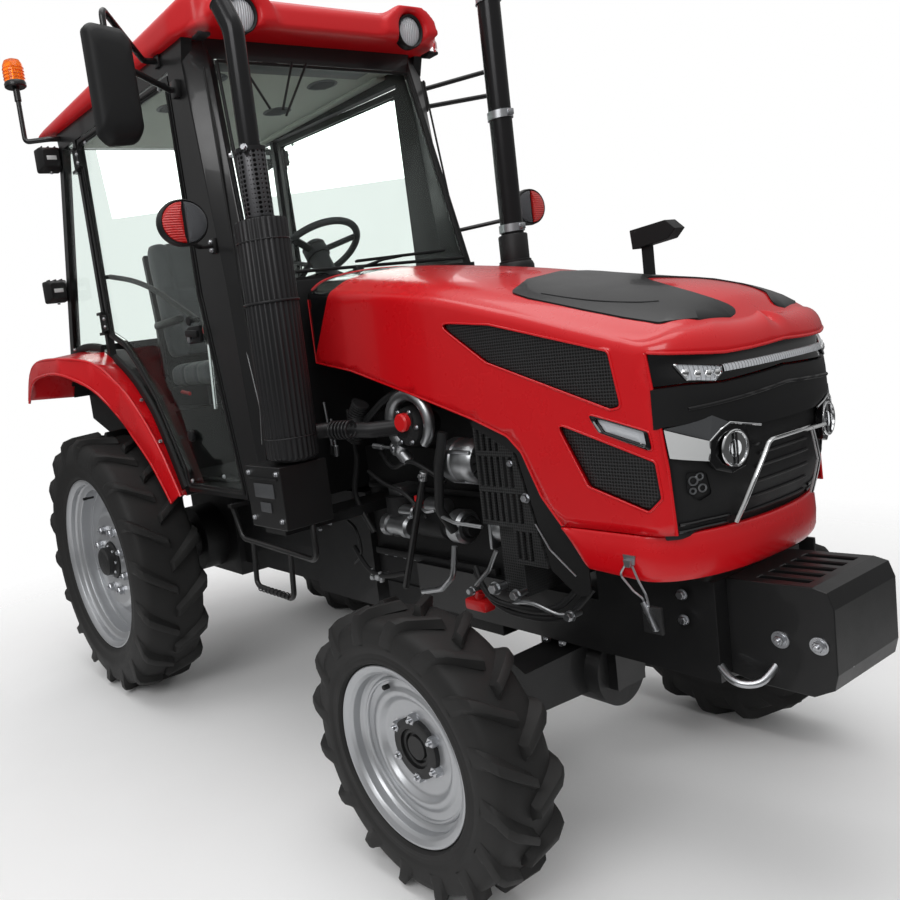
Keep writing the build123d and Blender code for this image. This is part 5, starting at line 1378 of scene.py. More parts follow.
    def back_panel(self):
        """Tail lamps, reflectors, blank number plate, vents and the rear window's handles."""
        form = Form()
        x = BACK_PANEL_X
        for side in (-1, 1):
            y0, y1 = sorted((side * 250, side * 420))
            form.block(x - 22, x + 2, y0, y1, 1296, 1372, 0, bevel=8)
            for share0, share1, finish in ((0.05, 0.36, 2), (0.38, 0.68, 1), (0.70, 0.95, 3)):
                a, b = sorted((side * (250 + 170 * share0), side * (250 + 170 * share1)))
                form.block(x - 34, x - 16, a, b, 1304, 1364, finish, bevel=6)
            form.lathe([(0, 0), (30, 0), (32, 4), (30, 8), (0, 9)], (x, side * 360, 1180), (-1, 0, 0), 0, sides=32)
            form.lathe([(0, 9), (25, 9), (25, 11), (0, 13)], (x, side * 360, 1180), (-1, 0, 0), 1, sides=32)
            for k in range(6):
                form.beam((x - 1, side * 190, 1130 + k * 22), (x - 1, side * 290, 1130 + k * 22), 7, 10, 0)
        form.block(x - 8, x + 1, -170, 170, 1290, 1392, 0, bevel=4)
        form.block(x - 12, x - 6, -160, 160, 1300, 1382, 4, bevel=2)
        for y in (-130, 130):
            form.bolt((x - 12, y, 1341), (-1, 0, 0), 12, 5, 5)
        form.bar((x - 4, -60, 1266), (x - 24, -60, 1262), 14, 0, sides=20)
        form.bar((x - 4, 60, 1266), (x - 24, 60, 1262), 14, 0, sides=20)
        form.piece("Tail_lamps_plate", "chassis", "plastic",
                   ["Moulded_plastic", "Red_ribs", "Amber_lens", "Lens_ribs", "Label_white", "Zinc"])

    def mirrors(self):
        """Right mirror on its tubular loop, and the loop on the left."""
        form = Form()
        y, out = DOOR_Y, 570
        form.pipe([(880, -y, 2390), (880, -out, 2390), (1122, -800, 2446), (1122, -800, 2380)], 10, 0, bend=34,
                  sides=14)
        form.pipe([(1122, -800, 2360), (1122, -800, 2300), (990, -y - 34, 2262), (990, -y, 2262)], 10, 0, bend=26,
                  sides=14)
        outline = rounded([(a, b, 0) for a, b in MIRROR_BODY], 34, steps=6)
        centre = sum(outline, Vector()) / len(outline)
        steps = [(1098, 0.10), (1093, 0.03), (1098, 0.0), (1118, 0.0), (1136, 0.05), (1147, 0.16), (1151, 0.36),
                 (1152, 0.7)]
        form.skin([[Vector((x, p.x + (centre.x - p.x) * s, p.y + (centre.y - p.y) * s)) for p in outline]
                   for x, s in steps], 1)
        form.skin([[Vector((x, p.x + (centre.x - p.x) * 0.08, p.y + (centre.y - p.y) * 0.05)) for p in outline]
                   for x in (1092, 1096)], 2)
        form.beam((1118, -800, 2290), (1118, -800, 2350), 34, 26, 0, up=(1, 0, 0))
        form.block(974, 1012, -y - 20, -y + 2, 2236, 2290, 0, bevel=3)
        form.block(862, 898, -y - 10, -y + 2, 2370, 2410, 0, bevel=3)
        form.block(975, 1030, y, y + 34, 2210, 2325, 0, bevel=4)
        form.pipe([(1002, y + 30, 2300), (1100, 835, 2356), (1100, 835, 2262), (1002, y + 30, 2234)], 9, 0, bend=26,
                  sides=14)
        form.bar((1002, y + 22, 2206), (1002, y + 22, 2330), 12, 3, sides=14)
        for z in (2228, 2308):
            form.bolt((1002, y + 34, z), (0, 1, 0), 14, 8, 3)
        form.piece("Mirrors", "chassis", "plastic", ["Black_paint", "Matt_black", "Mirror_glass", "Zinc"],
                   ["mirrors"],
                   bevel=0.8)

    def signals(self):
        """Oval turn signals in their shells on bent tubes, and the beacon on its J tube."""
        form = Form()
        x, y, z = SIGNAL
        for side in (-1, 1):
            centre = Vector((x - 46, side * y, z))
            ovals = [(-6, 0.55), (0, 0.82), (14, 0.97), (30, 1.0), (44, 0.97), (46, 0.93), (42, 0.90)]
            form.skin([[centre + Vector((dx, 80 * s * cos(2 * pi * k / 40), 68 * s * sin(2 * pi * k / 40)))
                        for k in range(40)] for dx, s in ovals], 0)
            for hand, finish, share in ((side, 1, 0.30), (-side, 2, 0.34)):
                lens = []
                for dx, s in ((40, 0.90), (46, 0.88), (50, 0.76), (52, 0.4), (52.5, 0.02)):
                    loop = []
                    for k in range(25):
                        a = pi * k / 24 - pi / 2
                        loop.append((hand * 78 * cos(a), 66 * sin(a)))
                    loop += [(hand * 3, 66 * sin(pi / 2 - pi * k / 12)) for k in range(1, 12)]
                    mid = (hand * 78 * share, 0)
                    lens.append([centre + Vector((dx, (mid[0] + (a - mid[0]) * s), (mid[1] + (b - mid[1]) * s)))
                                 for a, b in loop])
                form.skin(lens, finish)
            form.pipe([(1082, side * DOOR_Y, 1740), (1082, side * (DOOR_Y + 60), 1740),
                       (x - 70, side * (y - 10), z - 26), (x - 44, side * y, z - 20)], 8, 3, bend=24, sides=12)
            form.block(1064, 1100, *sorted((side * DOOR_Y, side * (DOOR_Y + 12))), 1716, 1764, 3, bevel=2)
            form.bolt((1082, side * (DOOR_Y + 12), 1752), (0, side, 0), 12, 7, 4)
            form.bolt((1082, side * (DOOR_Y + 12), 1727), (0, side, 0), 12, 7, 4)
        x, y, z = BEACON
        form.pipe([(-170, -DOOR_Y, 2425), (-176, -DOOR_Y - 50, 2425), (x, y, 2428), (x, y, 2470), (x, y, z)], 11, 3,
                  bend=38, sides=14)
        form.bar((x, y, z - 60), (x, y, z - 2), 15, 3, sides=16)
        form.lathe([(0, -2), (42, -2), (47, 2), (48, 14), (44, 22), (0, 22)], (x, y, z), (0, 0, 1), 3, sides=36)
        form.lathe([(0, 20), (44, 20), (45, 60), (43, 92), (34, 110), (18, 117), (0, 118)], (x, y, z), (0, 0, 1), 5,
                   sides=36)
        for k in range(4):
            form.hoop((x, y, z + 34 + k * 14), (0, 0, 1), 45, 1.6, 5, sides=36, around=6)
        form.lathe([(0, 22), (16, 22), (16, 74), (0, 78)], (x, y, z), (0, 0, 1), 6, sides=20)
        form.piece("Turn_signals_beacon", "chassis", "signal_lens",
                   ["Moulded_plastic", "Red_ribs", "Smoke_lens", "Black_paint", "Zinc", "Amber_lens", "Reflector"],
                   ["turn_signals"], sharp=35)

    def doors(self):
        """Seals, handles, hinge covers and the pull tubes inside the door glass."""
        for side, name in ((-1, "right"), (1, "left")):
            form = Form()
            y = side * DOOR_Y
            seal = [(30, 2358), (914, 2322), (928, 1600), (1040, 908), (1038, 894), (600, 894)]
            line = seal + [around_axle(a, r) for a, r in ((34, 712), (45, 734), (58, 796), (70, 860), (80, 938),
                                                          (87, 974))]
            line = [Vector((x, y - side * 11, z)) for x, z in line]
            for inset, at, radius in ((10, 2, 5), (22, -4, 4)):
                centre = Vector((480, 0, 1600))
                shift = []
                for p in line:
                    toward = (Vector((centre.x, 0, centre.z)) - Vector((p.x, 0, p.z))).normalized()
                    shift.append(Vector((p.x, y + side * at, p.z)) + toward * inset)
                form.pipe(shift, radius, 0, bend=30, closed=True, sides=8)
            pull = flowing([(40, y - side * 46, 1788), (230, y - side * 60, 1744), (417, y - side * 60, 1685),
                            (610, y - side * 58, 1600), (794, y - side * 44, 1524)], 6)
            form.pipe(pull, 11, 1, sides=12)
            for p in (pull[0], pull[-1]):
                form.bar(p, (p.x, y - side * 14, p.z), 9, 1, sides=12)
                form.lathe([(0, 0), (18, 0), (16, 5), (0, 6)], (p.x, y - side * 9, p.z), (0, side, 0), 1, sides=20)
            form.lathe([(0, -4), (20, -4), (22, 4), (20, 12), (12, 16), (0, 17)], (679, y - side * 8, 1103),
                       (0, side, 0), 1,
                       sides=28)
            form.block(820, 912, *sorted((y + side * 1, y + side * 20)), 1440, 1500, 1, bevel=6)
            form.beam((826, y + side * 26, 1478), (912, y + side * 26, 1470), 12, 24, 1, bevel=4)
            form.lathe([(0, 0), (11, 0), (11, 8), (0, 9)], (842, y + side * 20, 1456), (0, side, 0), 2, sides=20)
            for z in (1560, 2250):
                form.bar((14, y + side * 14, z - 6), (14, y + side * 14, z + 76), 11, 1, sides=16)
                for dz in (18, 52):
                    form.bolt((44, y + side * 16, z + dz), (0, side, 0), 12, 6, 2)
            for x, z in ((120, 2330), (860, 2306), (905, 960), (640, 930)):
                form.bolt((x, y + side * 1, z), (0, side, 0), 11, 5, 2)
            form.piece(f"Door_trim_{name}", f"door_{name}", "plastic", ["Rubber", "Matt_black", "Zinc"])

    def fenders(self):
        """Rolled outer lips, the black inner arch moulding and its bolts."""
        form = Form()
        for side in (-1, 1):
            crown = flowing([(*around_axle(a, r + 1), y) for a, r, y in FENDER], 5)
            form.pipe([(p.x, side * (p.z - 6), p.y - 7) for p in crown], 6.5, 0, sides=10)
            low = [(128, 922, 741), (119, 932, 744), (110, 896, 744), (93, 838, 737), (80, 767, 668), (70, 670, 608),
                   (58, 628, 596), (45, 602, 580), (28, 592, 566)]
            edge = flowing([(*around_axle(a, r), y) for a, r, y in low], 5)
            form.pipe([(p.x, side * p.z, p.y) for p in edge], 6.5, 0, sides=10)
            arch = flowing([(*around_axle(a, r + 4), 0) for a,
                            r in ((124, 940), (119, 996), (110, 993), (93, 913), (80, 838),
                                                                  (70, 793), (58, 741), (45, 684), (30, 655))], 5)
            rows = {-1: [], 1: []}
            for p in arch:
                if -14 < p.x < 70:
                    continue
                out = Vector((p.x, 0, p.y - REAR_AXLE_Z)).normalized()
                at = Vector((p.x, side * (DOOR_Y + 2), p.y))
                rows[1 if p.x > 0 else -1].append([at - out * 10 + Vector((0, side * 2, 0)),
                                                   at - out * 8 + Vector((0, side * 16, 0)),
                             at + out * 4 + Vector((0, side * 20, 0)), at + out * 22 + Vector((0, side * 14, 0)),
                             at + out * 26 + Vector((0, side * 2, 0))])
            for part in rows.values():
                form.skin(part, 1, ring=True)
            for i in range(4, len(arch) - 2, 6):
                p = arch[i]
                if -40 < p.x < 260:
                    continue
                out = Vector((p.x, 0, p.y - REAR_AXLE_Z)).normalized()
                form.bolt(Vector((p.x, side * (DOOR_Y + 36), p.y)) + out * 5, out, 12, 6, 2)
        form.piece("Fender_edges", "chassis", "body_paint", ["Red_paint", "Rubber", "Zinc"], sharp=45)

    def fittings(self):
        """Wiper, windscreen seal, washer rods, post trims, cowl and grab rail."""
        form = Form()
        foot, head = Vector((1224, 0, 1620)), Vector((1083, 0, 2328))
        for t, y, radius in ((0.0, 452, 6), (1.0, 408, 6)):
            p = foot.lerp(head, t)
            form.pipe([(p.x, -y, p.z), (p.x, y, p.z)], radius, 0, sides=8)
        for side in (-1, 1):
            form.pipe([(foot.x, side * 455, foot.z), (head.x, side * 409, head.z)], 6, 0, sides=8)
            form.pipe([(1150, side * 503, 900), (1196, side * 500, 1200), (1122, side * 503, 1640),
                       (1034, side * 458, 2380)],
                      3.2, 2, bend=60, sides=8)
            form.pipe([(1232, side * 486, 1100), (1240, side * 486, 1560)], 3.2, 2, sides=8)
        form.pipe([(1240, -60, 1612), (1232, 60, 1636), (1226, 150, 1644)], 5, 1, bend=30, sides=8)
        form.beam((1229, -60, 1638), (1223, 360, 1652), 8, 14, 1, up=(1, 0, 0.2))
        form.bar((1222, -60, 1600), (1250, -60, 1606), 17, 1, sides=20)
        for side in (-1, 1):
            for lower, upper, r in (((1221, side * 512, 1180), (1100, side * 470, 2300), 4),
                                    ((1214, side * 520, 930), (1221, side * 512, 1180), 4)):
                form.pipe([lower, upper], r, 0, sides=8)
        for y0, y1, z0, z1 in ((-330, -250, 2330, 2170), (-120, -200, 2335, 2170), (-60, -190, 2335, 2150)):
            form.pipe([(1096, y0, z0), (1120, y1, z1)], 4.5, 1, sides=8)
        form.block(1226, 1240, -470, 470, 1300, 1592, 1, bevel=5)
        form.piece("Cab_fittings", "chassis", "plastic", ["Rubber", "Matt_black", "Bright_steel"], bevel=1)


def rounded_square(half, corner):
    """Corners of a rounded square about the middle, as (y, z)."""
    points = rounded([(-half, -half, 0), (half, -half, 0), (half, half, 0), (-half, half, 0)], corner, steps=4)
    return [(p.x, p.y) for p in points]


# ---------------------------------------------------------------- engine bay
EXHAUST_AT, INTAKE_AT = (1447, -557), (1500, 420)
TURBO_AT = (1693, 1106)


class TRACTOR_OT_engine(bpy.types.Operator):
    """Build the exhaust, the intake and what hangs on the engine"""

    bl_idname = "tractor.engine"
    bl_label = "Engine"

    def execute(self, context):
        self.exhaust()
        self.intake()
        self.fittings()
        self.piping()
        self.block_details()
        self.guards()
        return {"FINISHED"}

    def exhaust(self):
        """Ribbed muffler, pierced collar, tail pipe, elbow and stay."""
        form = Form()
        x, y = EXHAUST_AT
        loops = []
        for z, r in ((1046, 40), (1048, 62), (1056, 72), (1062, 77), (1744, 77), (1750, 74), (1752, 50), (1750, 34)):
            depth = 2.2 if 1060 < z < 1746 else 0
            loops.append([Vector((x + (r + depth * cos(30 * a)) * cos(a), y + (r + depth * cos(30 * a)) * sin(a), z))
                          for a in (2 * pi * k / 240 for k in range(240))])
        form.skin(loops, 0)
        for z in (1120, 1690):
            form.hoop((x, y, z), (0, 0, 1), 78, 2.2, 0, sides=64, around=6)
        form.lathe([(34, 1740), (42, 1742), (43, 1750), (43, 1946), (42, 1952), (34, 1954)], (x, y, 0), (0, 0, 1), 1,
                   sides=48,
                   closed=True)
        for z in (1752, 1946):
            form.lathe([(41, z - 6), (45, z - 6), (45, z + 6), (41, z + 6)], (x, y, 0), (0, 0, 1), 0, sides=48,
                       closed=True)
        form.beam((x + 30, y - 38, 1944), (x + 44, y - 52, 1944), 16, 20, 0)
        form.bolt((x + 44, y - 48, 1944), (0.7, -0.7, 0), 15, 10, 2)
        form.bolt((x - 36, y - 40, 1944), (-0.7, -0.7, 0), 12, 8, 2)
        top = Vector((x - 34, y - 10, 2362))
        form.pipe([(x, y, 1940), (x, y, 2280), top], 31, 3, bend=110, sides=32)
        tip = Vector((-34, -10, 82)).normalized()
        form.hoop(top, tip, 30, 2.5, 3, sides=32, around=8)
        form.lathe([(28, 1), (28, -30), (0, -30)], top, tip, 4, sides=32)
        tx, tz = TURBO_AT
        form.pipe([(x, y, tz + 12), (x + 30, -440, tz + 12), (tx - 96, -372, tz), (tx - 30, -296, tz)], 24, 0,
                  bend=60, sides=24)
        for k in range(6):
            form.hoop((x + 66 + k * 13, -446 + k * 3, tz + 12), (1, 0.25, 0), 25, 4, 0, sides=28, around=8)
        front = 1252
        form.block(1230, front + 4, -488, -440, 1490, 1540, 0, bevel=3)
        form.bar((front - 8, -466, 1515), (x, y + 60, 1515), 10, 0)
        form.hoop((x, y, 1515), (0, 0, 1), 80, 4, 0, sides=64, around=8)
        for z in (1502, 1528):
            form.bolt((1242, -488, z), (0, -1, 0), 13, 7, 2)
        form.piece("Exhaust_stack", "chassis", "exhaust_metal",
                   ["Exhaust_black", "Exhaust_mesh", "Zinc", "Pipe_black", "Matt_black", "Bare_alloy"], ["exhaust"])

    def intake(self):
        """Air intake: sleeve, pipe, clamps, cap and elbow."""
        form = Form()
        x, y = INTAKE_AT
        form.lathe([(30, 1190), (58, 1192), (62, 1200), (62, 1545), (58, 1556), (54, 1560), (54, 1566), (49, 1568),
                    (49, 1650),
                    (46, 1654), (30, 1656)], (x, y, 0), (0, 0, 1), 0, sides=48)
        for z in (1230, 1520):
            form.hoop((x, y, z), (0, 0, 1), 62, 3, 0, sides=48, around=8)
        for z in (1676, 2052, 2430):
            form.lathe([(37, z - 13), (43, z - 13), (43, z + 13), (37, z + 13)], (x, y, 0), (0, 0, 1), 1, sides=40,
                       closed=True)
            form.block(x + 36, x + 54, y - 9, y + 9, z - 10, z + 10, 1, bevel=2)
        form.lathe([(20, 1640), (38, 1640), (38, 2470), (20, 2472)], (x, y, 0), (0, 0, 1), 2, sides=40)
        form.lathe([(41, 2462), (55, 2466), (56, 2470), (56, 2494), (48, 2500), (0, 2500)], (x, y, 0), (0, 0, 1), 0,
                   sides=40)
        form.pipe([(x, 214, 1072), (x, y, 1072), (x, y, 1205)], 43, 3, bend=80, sides=28)
        for p, axis in (((x, 232, 1072), (0, 1, 0)), ((x, y, 1176), (0, 0, 1))):
            form.hoop(p, axis, 45, 3.5, 1, sides=40, around=8)
        form.piece("Intake_stack", "chassis", "plastic", ["Moulded_plastic", "Zinc", "Pipe_black", "Hose_rubber"],
                   ["intake"])

    def fittings(self):
        """Turbocharger, alternator, starter, pump and filter, in place of the frame's plain ones."""
        form = Form()
        x, z = TURBO_AT
        form.lathe([(0, -330), (30, -330), (36, -324), (54, -318), (60, -300), (60, -270), (50, -256), (34, -250),
                    (34, -214), (0, -214)], (x, 0, z), (0, 1, 0), 1, sides=40)
        turn = [(x + r * cos(a), -302, z + 14 + r * sin(a)) for a, r in
                ((radians(a), 84 - 10 * (a + 60) / 330) for a in range(-50, 250, 12))]
        form.pipe(turn, 15, 0, sides=16, end_radius=25)
        form.pipe([turn[-1], (x - 66, -300, z - 70), (x - 40, -290, z - 108)], 19, 0, bend=30, sides=16)
        form.bar((x + 6, -346, z + 16), (x + 6, -318, z + 16), 27, 4, sides=28, chamfer=5)
        form.lathe([(27, -326), (34, -326), (34, -318), (27, -318)], (x + 6, 0, z + 16), (0, 1, 0), 1, sides=28,
                   closed=True)
        for k in range(6):
            a = 2 * pi * k / 6
            form.bolt((x + 50 * cos(a), -321, z + 50 * sin(a)), (0, -1, 0), 10, 6, 3)
        low, high = node_box("engine")
        face = low.y
        ax, ay, az = 1862, face - 92, 1000
        form.lathe([(0, -84), (40, -84), (58, -76), (64, -60), (64, -30), (60, -26), (60, 10), (64, 14), (64, 40),
                    (56, 50), (30, 54),
                    (0, 54)], (ax, ay, az), (1, 0, 0), 0, sides=44)
        form.lathe([(0, 54), (32, 54), (34, 58), (34, 64), (26, 68), (34, 72), (34, 78), (0, 78)], (ax, ay, az),
                   (1, 0, 0), 1, sides=32)
        for k in range(12):
            a = 2 * pi * k / 12
            form.beam((ax + 51, ay + 34 * cos(a), az + 34 * sin(a)), (ax + 51, ay + 54 * cos(a), az + 54 * sin(a)),
                      6, 4, 1, up=(1, 0, 0))
        for k in range(3):
            a = 2 * pi * k / 3 + 0.5
            form.bar((ax - 78, ay + 62 * cos(a), az + 62 * sin(a)), (ax + 50, ay + 62 * cos(a), az + 62 * sin(a)), 6,
                     3, sides=12)
        form.block(ax - 46, ax + 4, ay + 20, face + 8, 984, 1010, 1, bevel=3)
        sx, sy, sz = 1750, face - 66, 796
        form.lathe([(0, -160), (34, -160), (42, -152), (46, -140), (46, -30), (40, -26), (40, -6), (50, 0), (50, 38),
                    (42, 46), (26, 50),
                    (26, 66), (0, 68)], (sx, sy, sz), (1, 0, 0), 1, sides=40)
        form.lathe([(0, -6), (44, -6), (50, 0), (51, 38), (43, 47), (0, 52)], (sx, sy - 1, sz), (1, 0, 0), 0,
                   sides=40)
        form.lathe([(0, -110), (22, -110), (24, -104), (24, -26), (0, -24)], (sx, sy - 8, sz + 56), (1, 0, 0), 0,
                   sides=28)
        form.block(sx - 60, sx - 10, sy, face + 8, 772, 822, 1, bevel=3)
        bx, bz = 1906, 800
        form.block(bx - 12, bx, face - 92, face + 4, bz - 52, bz + 44, 0, bevel=3)
        form.lathe([(0, 0), (34, 0), (36, 6), (36, 44), (30, 52), (18, 54), (18, 64), (0, 66)], (bx, face - 56, bz),
                   (1, 0, 0), 0, sides=36)
        form.lathe([(0, 66), (26, 66), (26, 96), (20, 104), (0, 104)], (bx, face - 56, bz), (1, 0, 0), 1, sides=28)
        fx, fy = 1490, face - 55
        form.lathe([(0, 740), (40, 740), (48, 748), (50, 760), (50, 868), (0, 868)], (fx, fy, 0), (0, 0, 1), 1,
                   sides=40)
        for k in range(20):
            a = 2 * pi * k / 20
            form.bar((fx + 49 * cos(a), fy + 49 * sin(a), 752), (fx + 49 * cos(a), fy + 49 * sin(a), 800), 2, 1,
                     sides=6)
        form.block(fx - 32, fx + 32, fy - 24, face + 6, 868, 900, 0, bevel=4)
        form.block(1560, 1650, face - 70, face + 4, 806, 836, 0, bevel=5)
        form.bar((1462, face - 78, 826), (1580, face - 78, 826), 19, 0, sides=24, chamfer=4)
        form.lathe([(0, 1448), (30, 1448), (36, 1454), (36, 1476), (30, 1480), (30, 1540), (36, 1544), (36, 1566),
                    (28, 1574),
                    (0, 1576)], (0, face - 92, 778), (1, 0, 0), 0, sides=36)
        form.lathe([(0, 0), (26, 0), (28, 6), (28, 20), (22, 24), (0, 24)], (1556, face - 66, 822), (1, 0, 0), 0,
                   sides=28)
        form.pipe([(1600, face - 74, 830), (1640, face - 74, 836), (1660, face - 60, 800)], 11, 0, bend=24, sides=14)
        form.bar((1584, face - 64, 846), (1584, face - 64, 874), 14, 4, sides=20)
        form.lathe([(0, 0), (55, 0), (56, 8), (56, 208), (50, 220), (0, 220)], (1420, 275, 800), (1, 0, 0), 1,
                   sides=40)
        for x0 in (1450, 1520, 1590):
            form.hoop((x0, 275, 800), (1, 0, 0), 57, 3, 0, sides=36, around=8)
            form.bar((x0, 275, 850), (x0, 275, 884), 10, 3, sides=12)
            form.pipe([(x0, 275, 880), (x0 - 10, 270, 980), (x0 + 14, 205, 1060)], 4, 3, bend=40, sides=8)
        form.block(1440, 1600, 205, 260, 772, 828, 1, bevel=4)
        form.lathe([(0, 0), (76, 0), (76, 20), (30, 24), (30, 40), (0, 40)], (high.x, 0, 900), (1, 0, 0), 1, sides=36)
        for k in range(8):
            a = 2 * pi * k / 8
            root = Vector((high.x + 46, 30 * cos(a), 900 + 30 * sin(a)))
            tip = Vector((high.x + 46, 206 * cos(a + 0.12), 900 + 206 * sin(a + 0.12)))
            form.beam(root, tip, 62, 3, 5, up=(1, 0.5 * sin(a), 0))
        form.piece("Engine_fittings", "chassis", "fitting_metal",
                   ["Bare_alloy", "Engine_iron", "Hose_rubber", "Zinc", "Cap_red", "Moulded_plastic"],
                   ["engine_fittings"])

    def piping(self):
        """Rods, hoses and bent pipes along the right-hand side of the engine, and some on the left."""
        form = Form()
        y = -318
        form.bar((1741, y, 961), (1600, y, 612), 10, 1, sides=16)
        form.bar((1748, y, 978), (1738, y, 952), 13, 0, sides=16)
        form.bolt((1744, y - 8, 966), (0, -1, 0), 14, 8, 0)
        form.pipe([(1834, y + 10, 1090), (1812, y, 1000), (1786, y + 6, 868), (1800, y + 40, 800)], 14, 2, bend=60,
                  sides=14)
        form.pipe([(1822, y + 14, 764), (1818, y, 681), (1765, y, 634), (1668, y + 10, 606)], 8.5, 0, bend=44,
                  sides=14)
        form.pipe([(1983, y + 12, 772), (1962, y, 720), (1905, y, 668)], 6, 0, bend=26, sides=12)
        form.pipe([(1785, y + 8, 850), (1850, y, 838), (1945, y + 8, 834)], 5.5, 0, bend=50, sides=12)
        form.pipe([(1700, y + 10, 868), (1735, y, 858), (1760, y + 10, 862)], 4.5, 0, bend=20, sides=10)
        form.hoop((1618, -306, 1040), (0, 1, 0), 17, 6, 0, sides=32, around=10)
        form.bar((1618, -320, 1040), (1618, -292, 1040), 9, 0, sides=16)
        form.bar((1600, -306, 1041), (1528, -306, 1045), 5, 0, sides=12)
        form.bar((1560, -306, 1043), (1516, -306, 1046), 9, 0, sides=12)
        form.pipe([(1268, -298, 1186), (1286, -300, 1040)], 4.5, 0, sides=10)
        form.pipe([(1296, -298, 1130), (1306, -300, 1040)], 4.5, 0, sides=10)
        form.bar((1284, -300, 1010), (1288, -300, 1044), 10, 1, sides=14)
        form.bar((1305, -300, 1006), (1308, -300, 1042), 9, 0, sides=14)
        ribs = flowing([(1420, -306, 1060), (1436, -306, 1092), (1444, -304, 1136), (1470, -300, 1176)], 6)
        form.pipe(ribs, 24, 2, sides=18)
        for a, b in zip(ribs[1:-1:1], ribs[2:]):
            form.hoop((a + b) / 2, b - a, 25, 4, 2, sides=24, around=8)
        for line, radius, finish in (
                ([(1330, -250, 1150), (1400, -290, 1010), (1380, -300, 880), (1440, -290, 760)], 9, 2),
                ([(1360, -240, 1180), (1450, -285, 1120), (1560, -280, 1180), (1640, -250, 1220)], 12, 2),
                ([(1500, -270, 1020), (1590, -300, 980), (1680, -300, 1000), (1790, -280, 940)], 7, 2),
                ([(1450, -290, 960), (1540, -306, 930), (1640, -306, 900), (1700, -290, 830)], 6, 2),
                ([(1860, -270, 700), (1930, -300, 640), (2020, -296, 622), (2150, -286, 640), (2230, -270, 720)], 8,
                 2),
                ([(1850, -262, 680), (1940, -290, 618), (2040, -288, 598), (2170, -280, 620), (2250, -262, 700)], 8,
                 2),
                ([(1960, -280, 610), (2080, -306, 646), (2170, -306, 632), (2210, -296, 640)], 6, 0),
                ([(1330, -296, 700), (1400, -304, 640), (1470, -300, 622), (1560, -280, 640)], 8, 2),
                ([(1310, -290, 640), (1370, -300, 690), (1350, -296, 760), (1290, -280, 780)], 5, 2),
                ([(1300, 250, 1150), (1400, 290, 1050), (1560, 300, 1100), (1700, 270, 1150)], 11, 2),
                ([(1640, 280, 760), (1760, 300, 720), (1850, 296, 800), (1900, 260, 960)], 8, 2),
                ([(1350, 250, 700), (1460, 290, 650), (1600, 290, 660), (1720, 260, 700)], 7, 0)):
            form.pipe(flowing(line, 8), radius, finish, sides=12)
        for x, z, across in ((1957, 662, 26), (2030, 656, 22), (2202, 632, 20), (1452, 616, 20), (1424, 612, 16),
                             (1866, 640, 16)):
            form.bolt((x, -296, z), (0, -1, 0), across, 16, 0)
            form.bar((x, -260, z), (x, -296, z), across * 0.42, 0, sides=14)
        form.bar((1416, -300, 640), (1424, -300, 604), 8, 0, sides=12)
        form.bar((1456, -300, 634), (1462, -300, 600), 8, 0, sides=12)
        form.pipe([(1416, -300, 622), (1470, -300, 612)], 6, 0, sides=12)
        form.block(1800, 1880, -272, -226, 566, 600, 3, bevel=8)
        form.bar((1840, -250, 600), (1850, -250, 622), 14, 3, sides=20)
        form.piece("Engine_piping", "chassis", "fitting_metal",
                   ["Bare_alloy", "Chassis_black", "Hose_rubber", "Cap_red"])

    def block_details(self):
        """Ribs, covers and bolts over the engine block and the gearbox."""
        low, high = node_box("engine")
        form = Form()
        for side in (-1, 1):
            face = side * high.y
            for k in range(11):
                x = low.x + 60 + k * (high.x - low.x - 120) / 10
                form.bolt((x, face, 640), (0, side, 0), 12, 7, 1)
            for k in range(7):
                x = low.x + 60 + k * (high.x - low.x - 120) / 6
                form.beam((x, face + side * 4, 660), (x, face + side * 4, 860), 10, 14, 0)
            form.beam((low.x + 20, face + side * 8, 650), (high.x - 20, face + side * 8, 650), 20, 24, 0, bevel=4)
            form.beam((low.x + 20, face + side * 6, 880), (high.x - 20, face + side * 6, 880), 16, 18, 0, bevel=4)
        for x in (1340, 1470, 1600, 1730):
            form.block(x - 48, x + 48, -70, 70, high.z - 4, high.z + 44, 0, bevel=10)
            form.bolt((x, 0, high.z + 44), (0, 0, 1), 18, 10, 1)
        low, high = node_box("gearbox")
        for side in (-1, 1):
            for k in range(8):
                form.bolt((560 + k * 70, side * 190, 700 + 30 * (k % 2)), (0, side, 0), 14, 8, 1)
        form.piece("Engine_details", "chassis", "engine_metal", ["Engine_iron", "Zinc"])

    def guards(self):
        """Rubber strips that close the gap between the radiator guard and the hood."""
        form = Form()
        strip = [(1944, 1124), (2070, 1082), (2116, 1040), (2164, 932), (2222, 852), (2278, 770), (2276, 700),
                 (2240, 690),
                 (2166, 745), (2090, 1036), (2060, 1052), (1944, 1106)]
        line = rounded([(x, z, 0) for x, z in strip], 14)
        for side in (-1, 1):
            form.slab([(p.x, p.y) for p in line], "y", side * 302, side * 306, 0)
            form.bolt((2101, side * 300, 923), (0, side, 0), 18, 10, 1)
            form.bolt((2060, side * 300, 1010), (0, side, 0), 12, 6, 1)
            form.pipe([(2130, side * 308, 860), (2170, side * 310, 800), (2240, side * 308, 742)], 2.2, 1, bend=40,
                      sides=8)
        form.piece("Guard_strips", "chassis", "plastic", ["Rubber", "Zinc"])


